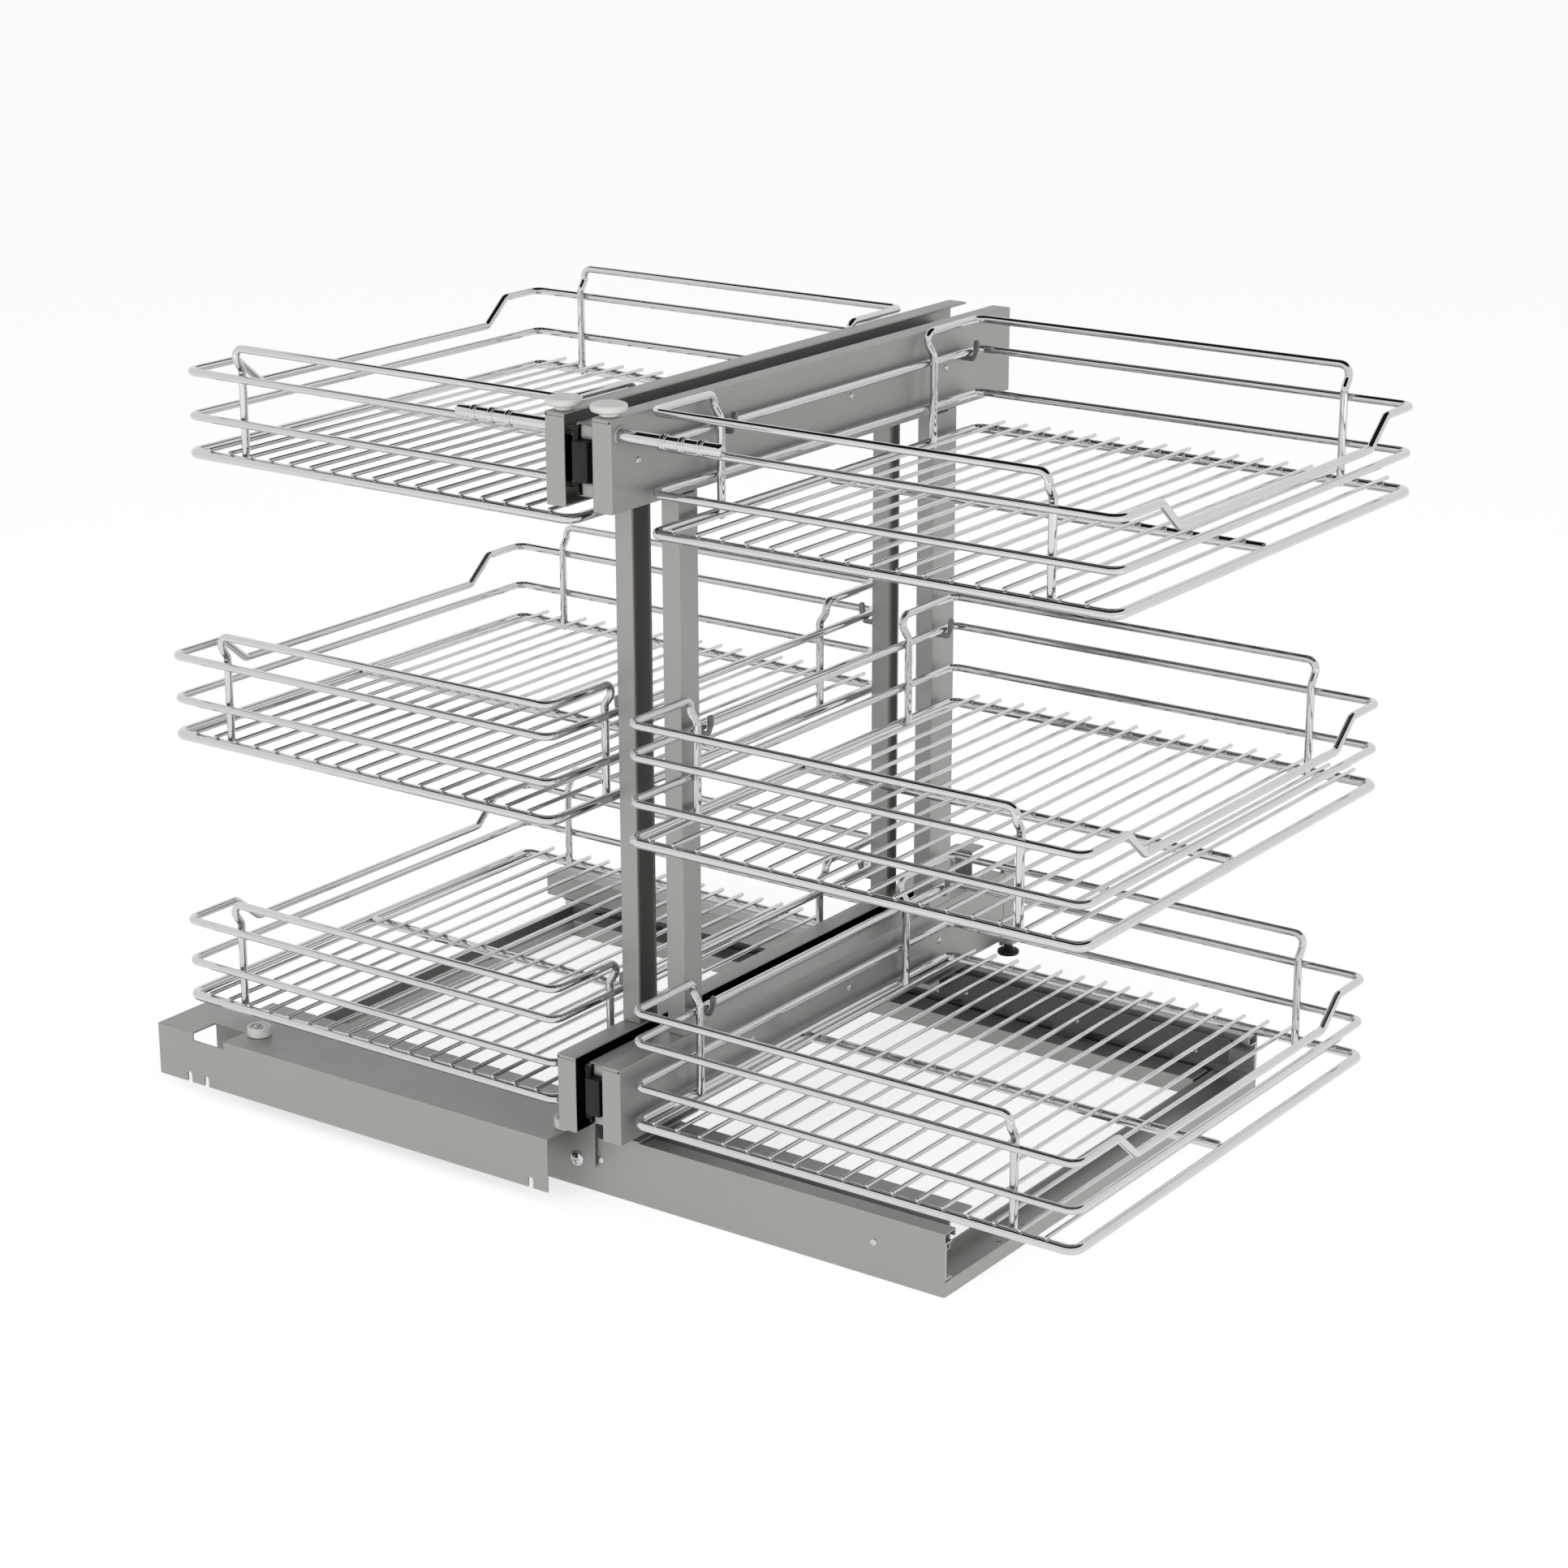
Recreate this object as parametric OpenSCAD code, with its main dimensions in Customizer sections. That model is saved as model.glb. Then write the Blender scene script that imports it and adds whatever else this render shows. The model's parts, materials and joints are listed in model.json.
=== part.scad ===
// Blind corner pull-out organizer: a floor frame, a carriage that runs sideways on it,
// and two basket frames that pull out of the carriage towards the front.
// X runs to the right, Y to the back and Z up; Z = 0 is the cabinet floor and the origin
// is the centre of the four floor screws. All lengths are in millimetres.

/* [Base frame] */
// width of the floor frame over both ends
base_w = 724; // [600:1:900]
// depth of the floor frame over both rails
base_d = 473; // [420:1:560]
// height of the floor rails
rail_h = 51; // [40:0.5:70]
// sheet thickness of the rails, the cover and the saddles
rail_t = 1.6; // [1:0.1:3]
// depth of the rail's top flange
rail_top_d = 15; // [10:0.5:25]
// height of the lip that hangs from the rail's top flange
rail_lip_h = 6; // [3:0.5:8]
// depth of the rail's bottom flange
rail_foot_d = 36; // [25:1:60]
// height of the raised step along the back rail
step_h = 15; // [8:0.5:20]
// depth of the raised step along the back rail
step_d = 42.5; // [35:1:70]
// width of a floor side member
side_w = 36; // [28:1:50]
// height of the flanges of a side member
side_h = 12; // [8:0.5:18]
// distance between the floor screws from left to right
screw_span_x = 692; // [560:1:860]
// distance between the floor screws from front to back
screw_span_y = 200; // [120:1:320]
// diameter of a floor screw hole
screw_hole_d = 5.2; // [4:0.1:8]
// diameter of the small locating hole in a side member
locate_hole_d = 4; // [2:0.1:6]
// distance of the locating hole from the centre of the frame, towards the front
locate_y = 136; // [110:1:180]

/* [Floor slides] */
// height of the fixed floor track
track_h = 30; // [24:0.5:40]
// depth of the fixed floor track
track_d = 8.6; // [6:0.1:12]
// height of the track's lower edge above the floor
track_z = 13; // [8:0.5:16]
// wall of the track and of the runner
track_t = 1.5; // [1:0.1:2.5]
// running gap in the slides
run_gap = 0.6; // [0.4:0.05:1]
// height of the top of the guide strip
guide_top_z = 49.4; // [40:0.1:60]
// height of the guide strip's lower lip
guide_low_z = 26; // [20:0.5:32]
// distance from the rail's outer face to the guide's back wall
guide_y = 25; // [22:0.5:32]
// depth of the guide's flat top strip
guide_strip_d = 31; // [15:1:45]
// depth of the guide's lower lip
guide_lip_d = 4; // [2:0.5:6]
// width of the feet that hold the guide
guide_foot_w = 30; // [15:1:60]
// distance of the inner pins from the middle of the rails
rail_pin_near = 46; // [20:1:120]
// distance of the outer pins from the middle of the rails
rail_pin_far = 300; // [160:1:350]
// head diameter of the pins in the rails
rail_pin_d = 6; // [4:0.1:9]
// height of the pin heads
rail_pin_h = 1.2; // [0.6:0.1:2]

/* [Carriage] */
// place of the carriage's centre plane along the floor rails
carriage_x = 64; // [20:1:100]
// length of the front cover
cover_w = 414; // [320:1:430]
// gap from the carriage's centre plane to the cover's right end
cover_inset = 38.5; // [34:0.5:60]
// height of the front cover
cover_h = 44.6; // [36:0.1:60]
// distance of the cover in front of the front rail
cover_lead = 40; // [25:0.5:60]
// gap under the cover's top plate, above the rail
cover_gap = 1.6; // [1:0.1:3]
// width of the window near the cover's left end
window_w = 34; // [10:1:50]
// depth of the window in the cover's top plate
window_d = 26; // [10:1:34]
// drop of the window into the cover's front wall
window_drop = 7; // [3:0.5:15]
// distance of the window from the cover's left end
window_x = 40; // [15:1:60]
// width of a keyhole notch in the cover's lower edge
notch_w = 5; // [3:0.1:8]
// height of a keyhole notch in the cover's lower edge
notch_h = 9; // [5:0.1:14]
// Left end of the cover to the first notch
first_notch_x = 34; // [12:1:60]
// Distance between the two left notches
notch_pitch = 19; // [10:1:40]
// Last notch to the right end of the cover
last_notch_x = 17; // [8:1:40]
// width of the saddle plates
saddle_w = 60.5; // [40:0.5:80]
// depth of the saddle plates
saddle_d = 74; // [50:1:110]
// drop of the saddle's front plate
saddle_drop = 33; // [20:0.5:40]
// width of the saddle's front plate
saddle_plate_w = 31; // [20:0.5:50]
// head diameter of the saddle screw
saddle_screw_d = 10; // [6:0.1:14]
// head height of the saddle screw
saddle_screw_h = 3; // [1.5:0.1:5]
// Depth of the apron over the back guide
apron_d = 20.9; // [14:0.1:30]
// Bottom of the apron above the floor
apron_low_z = 32; // [18:0.5:40]
// width of the centre beams
beam_w = 17; // [12:0.5:22]
// height of the top centre beam
top_beam_h = 54; // [46:0.5:64]
// height of the bottom centre beam
low_beam_h = 50; // [46:0.5:60]
// Beam length minus slide length
beam_long = 10; // [2:1:20]
// distance of the beams' front ends behind the bottom channels' front ends
beam_inset = 12; // [8:0.5:30]
// wall of the beams
beam_t = 1.5; // [1:0.1:3]
// thickness of the two upright flat bars
mast_t = 9; // [5:0.5:12]
// depth of the two upright flat bars
mast_w = 27; // [15:0.5:32]
// Gap in depth between the front post and the front mast
front_mast_gap = 4; // [0:0.5:10]
// Overlap in depth of the back post and the back mast
back_mast_lap = 0.5; // [0:0.1:4]
// height of the black end block
cap_block_h = 30; // [20:0.5:36]
// depth of the black end block
cap_block_d = 8; // [5:0.5:10]
// thickness of the black end plate
cap_t = 3; // [2:0.1:6]
// height of the stub at the back of the bottom beam
stub_h = 26; // [15:0.5:40]
// depth of the stub at the back of the bottom beam
stub_d = 20; // [10:0.5:30]

/* [Frame slides] */
// height of a slide's outer member
slide_h = 44; // [38:0.5:50]
// depth of a slide's outer member
slide_d = 12; // [10:0.1:14]
// wall of the slide members
slide_t = 1.4; // [1:0.1:2]
// Bottom channel length minus slide length
slide_short = 41; // [30:1:80]

/* [Frames] */
// distance from the centre plane to a channel's outer face
face_x = 30; // [26:0.5:36]
// width of the channels
chan_w = 17.3; // [14:0.1:20]
// sheet thickness of the channels and posts
chan_t = 2; // [1.5:0.1:3]
// front end of the top channels
top_front_y = -269.3; // [-300:0.1:-250]
// length of the top channels
top_len = 531.6; // [480:0.1:600]
// height of the top channels
top_h = 69; // [56:0.5:80]
// top of the top channels above the floor
top_z = 620.5; // [560:0.5:700]
// front end of the bottom channels
low_front_y = -271.9; // [-300:0.1:-250]
// length of the bottom channels
low_len = 541; // [480:0.1:600]
// height of the bottom channels
low_h = 62; // [54:0.5:70]
// lower edge of the bottom channels above the floor
low_z = 64; // [60:0.5:80]
// height of the plate at the back of a bottom channel
back_plate_h = 78; // [64:0.5:90]
// depth of the plate at the back of a bottom channel
back_plate_d = 44; // [30:1:60]
// overhang of that plate past the end of the bottom channel
back_plate_out = 17; // [5:0.5:25]
// width of the posts
post_w = 16; // [12:0.5:17]
// depth of the front posts
front_post_d = 23; // [16:0.5:30]
// Front post behind the front of the lower baskets
front_post_in = 73.5; // [40:0.5:120]
// depth of the back posts
back_post_d = 32.5; // [20:0.5:40]
// Back post behind the back of the lower baskets, towards the front
back_post_in = 19.5; // [5:0.5:40]
// lip at the back edge of the back posts
post_lip = 5; // [3:0.5:8]
// diameter of a rivet head
rivet_d = 4.6; // [3:0.1:7]
// height of a rivet head
rivet_h = 1; // [0.5:0.1:2]
// First rivet behind the front of the top channel
rivet_first = 31.9; // [20:0.1:60]
// Distance between rivets
rivet_pitch = 134.4; // [90:0.1:150]
// Rivets along the top channel
rivet_count = 4; // [2:1:4]
// diameter of the foot under the back plate
foot_d = 19; // [12:0.5:24]
// thickness of the foot's disc
foot_t = 3.5; // [2:0.1:5]
// diameter of the foot's stem
foot_stem_d = 8; // [5:0.1:10]
// gap between the foot and the highest part of the floor frame
foot_gap = 4; // [3:0.1:8]
// width of a basket hook
hook_w = 15; // [8:0.5:18]
// thickness of a basket hook
hook_t = 2; // [1.2:0.1:3]
// Front hooks behind the front of their basket
hook_front_in = 87; // [60:0.5:110]
// Back hooks in front of the back of their basket
hook_back_in = 17.5; // [12:0.5:30]

/* [Handles and rollers] */
// diameter of a handle rod
handle_d = 10; // [7:0.1:14]
// length of a handle from the channel's outer face
handle_len = 91; // [60:1:130]
// Drop of the handle below the top of the top channel
handle_drop = 12.5; // [11:0.5:40]
// distance of a handle behind the channel's front end
handle_y = 10.7; // [8:0.1:20]
// diameter of a handle's collar and of its grip rings
collar_d = 13; // [11:0.1:18]
// thickness of a handle's collar and of its grip rings
collar_t = 4; // [2:0.1:6]
// distance between the grip rings
ring_pitch = 16.4; // [10:0.1:22]
// Number of grip rings on a handle
ring_count = 3; // [1:1:4]
// diameter of a roller on a top channel
top_roller_d = 27.5; // [20:0.5:30]
// thickness of a roller on a top channel
top_roller_h = 7; // [5:0.1:10]
// diameter of the hub on that roller
hub_d = 14; // [10:0.1:18]
// height of the hub above that roller
hub_h = 2.4; // [1:0.1:5]
// diameter of a roller on the cover
cover_roller_d = 20; // [14:0.5:22]
// thickness of a roller on the cover
cover_roller_h = 8; // [5:0.1:8.5]
// distance of the cover rollers from the cover's ends
cover_roller_in = 3; // [2:0.5:30]
// distance of the left cover roller from the cover's left end
cover_roller_far = 88; // [30:1:160]
// head diameter of the roller screws
roller_screw_d = 8; // [7:0.1:10]
// head height of the roller screws
roller_screw_h = 1.4; // [0.8:0.1:2]
// diameter of the roller pins
pin_d = 6; // [4:0.1:8]
// running gap of a roller on its pin
pin_gap = 0.08; // [0.02:0.01:0.1]

/* [Baskets] */
// diameter of the basket rim wires
wire_d = 6.3; // [5:0.1:8]
// diameter of a basket's lowest wire
low_wire_d = 7.9; // [5:0.1:9]
// diameter of the floor wires
floor_wire_d = 3.4; // [2.5:0.1:5]
// width of a basket between the centres of its wires
basket_w = 385; // [300:1:420]
// depth of a basket between the centres of its wires
basket_d = 434; // [380:1:470]
// distance from the centre plane to a basket's inner wire
basket_x = 37.5; // [34:0.5:48]
// lowest wire of the bottom baskets above the floor
basket_z = 82.4; // [70:0.1:100]
// distance between the basket levels
tier_pitch = 224.5; // [200:0.5:260]
// front wire of the top baskets
top_basket_y = -231.6; // [-260:0.1:-220]
// lead of the middle and bottom baskets ahead of the top ones
low_lead = 32.5; // [0:0.5:36]
// height of the middle wire above the lowest one
mid_wire_z = 29.9; // [20:0.1:40]
// height of the upper wire above the lowest one
top_wire_z = 65.4; // [50:0.1:80]
// height of the raised end rails above the lowest wire
gallery_z = 89.9; // [80:0.1:110]
// bend radius of the basket corners
corner_r = 9; // [7:0.5:20]
// drop of the upper wire on the outer side
dip_drop = 21; // [10:0.5:26]
// length over which the upper wire drops
dip_run = 25; // [15:0.5:35]
// distance from the front wire to the drop
dip_front = 56; // [30:1:90]
// distance from the back wire to the drop
dip_back = 44; // [30:1:90]
// bend radius of the drop and of the legs
bend_r = 7; // [5:0.5:10]
// Outer side of a basket to the legs on its front and back
leg_inset = 54; // [30:1:120]
// distance of the inner legs from the front or back wire
leg_y = 75; // [50:1:110]
// slant of the legs under the raised rails, in degrees
leg_slant = 35; // [20:1:40]
// number of floor wires
floor_wires = 17; // [9:1:25]
// distance of the first floor wire from the inner wire
first_wire = 19.5; // [14:0.5:30]
// distance of the last floor wire from the outer wire
last_wire = 22.3; // [14:0.5:40]
// overhang of the floor wires past the back wire
wire_tail = 11; // [4:0.5:20]
// overhang of the floor wires past the front wire
wire_nose = 3; // [2:0.5:8]
// depth of a weld where two wires meet
weld = 0.3; // [0.1:0.05:0.5]
// swell of a wire where a slanted run meets its bends
swell = 0.05; // [0.02:0.01:0.1]

/* [Node] */
// node to draw

/* [Hidden] */
$fn = 64;
sheet_color = [0.62, 0.61, 0.6];
track_color = [0.7, 0.7, 0.7];
chrome_color = [0.85, 0.85, 0.87];
black_color = [0.1, 0.1, 0.1];
white_color = [0.9, 0.9, 0.88];
cut = 1;
wire_r = wire_d / 2;
low_wire_r = low_wire_d / 2;
floor_r = floor_wire_d / 2;
base_x = base_w / 2;
base_y = base_d / 2;
side_x = base_x - side_w;
screw_x = screw_span_x / 2;
screw_y = screw_span_y / 2;
pin_mid_z = track_z + track_h / 2;
shank_share = 0.5;
dome_share = 0.35;
cross_share = 0.5;
slot_share = 0.12;
saddle_screw_share = 0.88;
cross_len = saddle_screw_d * cross_share;
cross_w = saddle_screw_d * slot_share;
hole_gap = 0.1;
cover_low_z = rail_h + cover_gap;
cover_top_z = cover_low_z + rail_t;
cover_right = -cover_inset;
cover_left = cover_right - cover_w;
cover_y = -base_y - cover_lead;
notch_places = [first_notch_x, first_notch_x + notch_pitch, cover_w - last_notch_x];
track_y1 = rail_t + track_d;
runner_y0 = rail_t + track_t + run_gap;
runner_z0 = track_z + track_t + run_gap;
runner_z1 = track_z + track_h - track_t - run_gap;
runner_x0 = run_gap - base_x - carriage_x;
runner_x1 = beam_w / 2;
hanger_y0 = rail_top_d + run_gap;
hanger_y1 = hanger_y0 + rail_t;
apron_y1 = hanger_y0 + apron_d;
guide_y1 = guide_y + rail_t;
guide_x = base_x - side_h;
foot_share = 0.6;
saddle_gap = rail_pin_h + run_gap;
saddle_right = cover_right + saddle_w;
saddle_tuck_share = 0.44;
saddle_left = cover_right - saddle_plate_w * saddle_tuck_share;
riser_y0 = saddle_d / 6;
riser_y1 = saddle_d - riser_y0 / 2;
low_mid_z = low_z + low_h / 2;
top_mid_z = top_z - top_h / 2;
low_beam_z = low_mid_z - low_beam_h / 2;
top_beam_z = top_mid_z - top_beam_h / 2;
beam_x = beam_w / 2;
beam_y = low_front_y + beam_inset;
slide_len = low_len - slide_short;
beam_end_y = beam_y + slide_len + beam_long;
mast_z0 = low_beam_z + low_beam_h;
bumper_d = beam_w - beam_t;
bumper_z = cover_top_z + foot_gap;
middle_x0 = beam_x + slide_t + run_gap;
inner_x0 = middle_x0 + slide_t + run_gap;
web_x = face_x - chan_t;
middle_x1 = web_x - slide_t - run_gap * 2;
middle_half = slide_h / 2 - slide_t - run_gap;
inner_half = middle_half - slide_t - run_gap;
low_z1 = low_z + low_h;
basket_y = [top_basket_y - low_lead, top_basket_y - low_lead, top_basket_y];
front_post_y = basket_y[0] + front_post_in;
back_post_y = basket_y[0] + basket_d - back_post_in;
front_mast_y = front_post_y + front_post_d + front_mast_gap;
back_mast_y = back_post_y + back_post_d - back_mast_lap;
top_z0 = top_z - top_h;
chan_x0 = face_x - chan_w;
post_x0 = face_x - post_w;
low_end_y = low_front_y + low_len;
plate_y1 = low_end_y + back_plate_out;
plate_y0 = plate_y1 - back_plate_d;
plate_z0 = low_mid_z - back_plate_h / 2 + chan_t;
foot_z = cover_top_z + foot_gap / 2;
foot_tab_z = plate_z0 + foot_d / 2;
foot_tab_w = foot_d - chan_t;
foot_x = face_x + foot_d / 2 + run_gap;
foot_y = plate_y1 - foot_d - foot_tab_w / 3;
handle_z = top_z - handle_drop;
tip_share = 0.15;
tip_len = handle_d * tip_share;
ring_out = collar_t / 4;
roller_x = chan_x0 + chan_w / 2 - chan_t / 2;
roller_y = top_front_y + handle_y;
roller_z = top_z + run_gap / 2;
stud_h = top_roller_h;
roller_lead_share = 0.75;
cover_roller_y = -base_y - rail_top_d * roller_lead_share;
cover_roller_z = cover_top_z + run_gap / 2;
hook_h = wire_d * 3;
hook_gap = weld;
leg_in = wire_d - weld;
leg_x = basket_w - leg_inset;
floor_z = low_wire_r + floor_r - weld;
floor_pitch = (basket_w - first_wire - last_wire) / (floor_wires - 1);
dip_angle = atan(dip_drop / dip_run);
dip_t = bend_r * tan(dip_angle / 2);
slant_len = (leg_in - 2 * bend_r * (1 - cos(leg_slant))) / sin(leg_slant);

module box(low, high) {
    translate(low) cube(high - low);
}

module front_side() {
    translate([0, -base_y, 0]) children();
}

module back_side() {
    translate([0, base_y, 0]) mirror([0, 1, 0]) children();
}

module right() {
    translate([carriage_x, 0, 0]) children();
}

module left() {
    translate([carriage_x, 0, 0]) mirror([1, 0, 0]) children();
}

// round bar between two points
module bar(from, to, r) {
    step = to - from;
    len = norm(step);
    translate(from)
        rotate([0, acos(step[2] / len), atan2(step[1], step[0])])
            cylinder(h = len, r = r);
}

// bent wire: an arc about a centre, from one angle over a sweep, which may be negative
module wire_arc(r, start, sweep, thick_r = wire_r) {
    rotate([0, 0, start])
        mirror([0, sweep < 0 ? 1 : 0, 0])
            rotate_extrude(angle = abs(sweep))
                translate([r, 0]) circle(r = thick_r);
}

// slight swell where a slanted run of wire meets its bends
module knuckle(p) {
    translate(p) sphere(r = wire_r + swell);
}

// slanted run between two bends
module slant(from, to) {
    bar(from, to, wire_r);
    knuckle(from);
    knuckle(to);
}

module arc_flat(c, r, start, sweep, thick_r = wire_r) {
    translate(c) wire_arc(r, start, sweep, thick_r);
}

module arc_across(c, r, start, sweep) {
    translate(c) rotate([90, 0, 0]) wire_arc(r, start, sweep);
}

module arc_along(c, r, start, sweep) {
    translate(c) rotate([90, 0, 90]) wire_arc(r, start, sweep);
}

// pins that hold the tracks to the rails, cut or drawn
module pin_places() {
    for (x = [-rail_pin_far, -rail_pin_near, rail_pin_near, rail_pin_far])
        translate([x, 0, pin_mid_z]) rotate([-90, 0, 0]) children();
}

module pin_holes() {
    pin_places()
        translate([0, 0, -cut])
            cylinder(h = track_y1, r = rail_pin_d * shank_share / 2 + hole_gap);
}

module rail_pin() {
    translate([0, 0, -rail_pin_h])
        cylinder(h = rail_pin_h, r1 = rail_pin_d * shank_share, r2 = rail_pin_d / 2);
    cylinder(h = rail_t + track_t, r = rail_pin_d * shank_share / 2);
}

// sheet of a rail: wall, top flange and lip; Y counts inwards from the outer face
module rail_sheet() {
    box([-base_x, 0, 0], [base_x, rail_t, rail_h]);
    box([-base_x, 0, rail_h - rail_t], [base_x, rail_top_d, rail_h]);
    box([-base_x, rail_top_d - rail_t, rail_h - rail_lip_h], [base_x, rail_top_d, rail_h]);
}

module front_rail() {
    color(sheet_color)
        front_side()
            difference() {
                union() {
                    rail_sheet();
                    box([-side_x, 0, 0], [side_x, rail_foot_d, rail_t]);
                }
                pin_holes();
            }
}

module back_rail() {
    color(sheet_color)
        back_side()
            difference() {
                union() {
                    rail_sheet();
                    box([-side_x, 0, 0], [side_x, step_d, rail_t]);
                    box([-side_x, step_d - rail_t, 0], [side_x, step_d, step_h]);
                    box([-side_x, hanger_y1 + run_gap, step_h - rail_t], [side_x, step_d, step_h]);
                }
                pin_holes();
            }
}

module side_member() {
    color(sheet_color)
        difference() {
            union() {
                box([side_x, rail_t - base_y, 0], [base_x, base_y - rail_t, rail_t]);
                box([side_x, rail_t - base_y, 0], [side_x + rail_t, base_y - rail_t, side_h]);
                box([base_x - rail_t, rail_t - base_y, 0], [base_x, base_y - rail_t, side_h]);
            }
            for (y = [-screw_y, screw_y])
                translate([screw_x, y, -cut])
                    cylinder(h = rail_t + cut * 2, r = screw_hole_d / 2);
            translate([screw_x, -locate_y, -cut])
                cylinder(h = rail_t + cut * 2, r = locate_hole_d / 2);
        }
}

module side_member_right() {
    side_member();
}

module side_member_left() {
    mirror([1, 0, 0]) side_member();
}

module track() {
    color(track_color)
        difference() {
            box([-base_x, rail_t, track_z], [base_x, track_y1, track_z + track_h]);
            box([-base_x - cut, rail_t + track_t, track_z + track_t],
                [base_x + cut, track_y1 + cut, track_z + track_h - track_t]);
            pin_holes();
        }
}

module front_track() {
    front_side() track();
}

module back_track() {
    back_side() track();
}

// guide strip on feet; the feet stand on the floor flange or on the step
module guide(foot_bottom, strip_d) {
    color(sheet_color) {
        box([-guide_x, guide_y, guide_low_z], [guide_x, guide_y1, guide_top_z]);
        box([-guide_x, guide_y - guide_lip_d, guide_low_z], [guide_x, guide_y1, guide_low_z + rail_t]);
        box([-guide_x, guide_y, guide_top_z - rail_t], [guide_x, guide_y + strip_d, guide_top_z]);
        for (x = [-side_x * foot_share, 0, side_x * foot_share])
            box([x - guide_foot_w / 2, guide_y, foot_bottom],
                [x + guide_foot_w / 2, guide_y1, guide_low_z + rail_t]);
    }
}

module front_guide() {
    front_side() guide(rail_t, guide_strip_d);
}

module back_guide() {
    back_side() guide(step_h, rail_t);
}

module rail_pins() {
    color(track_color) {
        front_side() pin_places() rail_pin();
        back_side() pin_places() rail_pin();
    }
}

module cover_notch(x) {
    translate([x - notch_w / 2, 0, cover_top_z - cover_h - cut])
        cube([notch_w, rail_t + cut * 2, cut + notch_h - notch_w / 2]);
    translate([x, 0, cover_top_z - cover_h + notch_h - notch_w / 2])
        rotate([-90, 0, 0]) cylinder(h = rail_t + cut * 2, r = notch_w / 2);
}

module roller_places() {
    for (x = [cover_right - cover_roller_in, cover_left + cover_roller_far])
        translate([x, cover_roller_y, 0]) children();
}

module front_cover() {
    color(sheet_color)
        right()
            difference() {
                union() {
                    box([cover_left, cover_y, cover_top_z - cover_h],
                        [cover_right, cover_y + rail_t, cover_top_z]);
                    box([cover_left, cover_y, cover_low_z], [cover_right, hanger_y1 - base_y, cover_top_z]);
                }
                box([cover_left + window_x, cover_y - cut, cover_top_z - window_drop],
                    [cover_left + window_x + window_w, cover_y + window_d, cover_top_z + cut]);
                translate([0, cover_y - cut, 0])
                    for (place = notch_places)
                        cover_notch(cover_left + place);
                roller_places()
                    translate([0, 0, cover_low_z - cut])
                        cylinder(h = rail_t + cut * 2, r = pin_d / 2 + hole_gap);
            }
}

// runner in a floor track with the hanger that carries the carriage
module runner() {
    color(track_color) {
        difference() {
            box([runner_x0, runner_y0, runner_z0], [runner_x1, track_y1, runner_z1]);
            box([runner_x0 - cut, runner_y0 - cut, runner_z0 + track_t],
                [runner_x1 + cut, track_y1 - track_t, runner_z1 - track_t]);
        }
        box([runner_x0, track_y1 - track_t, runner_z1 - rail_t], [runner_x1, hanger_y1, runner_z1]);
        box([runner_x0, hanger_y0, runner_z1 - rail_t], [runner_x1, hanger_y1, cover_low_z]);
    }
}

module front_runner() {
    front_side() right() runner();
}

module back_runner() {
    back_side() right() runner();
}

// apron that hangs over the back guide
module back_apron() {
    color(sheet_color)
        back_side() right() {
            box([runner_x0, hanger_y1, cover_low_z - rail_t], [runner_x1, apron_y1, cover_low_z]);
            box([runner_x0, apron_y1 - rail_t, apron_low_z], [runner_x1, apron_y1, cover_low_z]);
        }
}

// plate over a rail with the hollow riser under the bottom beam
module saddle_top(lead, first_x) {
    box([first_x, -lead, cover_low_z], [saddle_right, saddle_d, cover_top_z]);
    difference() {
        box([-beam_x, riser_y0, cover_top_z], [beam_x, riser_y1, low_beam_z]);
        box([rail_t - beam_x, riser_y0 - cut, cover_top_z + rail_t],
            [beam_x - rail_t, riser_y1 + cut, low_beam_z - rail_t]);
    }
}

module front_saddle() {
    color(sheet_color)
        front_side() right()
            difference() {
                union() {
                    saddle_top(saddle_gap + rail_t, cover_right);
                    box([saddle_left, -saddle_gap - rail_t, cover_top_z - saddle_drop],
                        [saddle_left + saddle_plate_w, -saddle_gap, cover_low_z]);
                }
                saddle_screw_place()
                    translate([0, 0, -cut])
                        cylinder(h = rail_t + cut * 2, r = saddle_screw_d * shank_share / 2 + hole_gap);
            }
}

module back_saddle() {
    color(sheet_color)
        back_side() right() saddle_top(0, saddle_left);
}

module saddle_screw_place() {
    translate([cover_right, -saddle_gap - rail_t, cover_top_z - saddle_drop * saddle_screw_share])
        rotate([-90, 0, 0]) children();
}

module saddle_screw() {
    color(chrome_color)
        front_side() right() saddle_screw_place() {
            difference() {
                translate([0, 0, -saddle_screw_h])
                    cylinder(h = saddle_screw_h, r1 = saddle_screw_d * dome_share, r2 = saddle_screw_d / 2);
                for (turn = [0, 90])
                    rotate([0, 0, turn])
                        translate([-cross_len / 2, -cross_w / 2, -saddle_screw_h - cut])
                            cube([cross_len, cross_w, cut + saddle_screw_h / 2]);
            }
            cylinder(h = rail_t, r = saddle_screw_d * shank_share / 2);
        }
}

// box tube with its right wall cut back at the front end
module beam(z0, h) {
    difference() {
        box([-beam_x, beam_y, z0], [beam_x, beam_end_y, z0 + h]);
        box([beam_t - beam_x, beam_y - cut, z0 + beam_t],
            [beam_x - beam_t, beam_end_y + cut, z0 + h - beam_t]);
        box([0, beam_y - cut, z0 + beam_t], [beam_x + cut, beam_y + cap_block_d, z0 + h - beam_t]);
    }
}

module bottom_beam() {
    color(sheet_color) right() {
        beam(low_beam_z, low_beam_h);
        box([-beam_x, beam_end_y, mast_z0 - beam_t], [beam_x, beam_end_y + beam_t, mast_z0 + stub_h]);
        box([-beam_x, beam_end_y, mast_z0 + stub_h - beam_t],
            [beam_x, beam_end_y + stub_d, mast_z0 + stub_h]);
    }
}

module top_beam() {
    color(sheet_color) right() beam(top_beam_z, top_beam_h);
}

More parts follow.
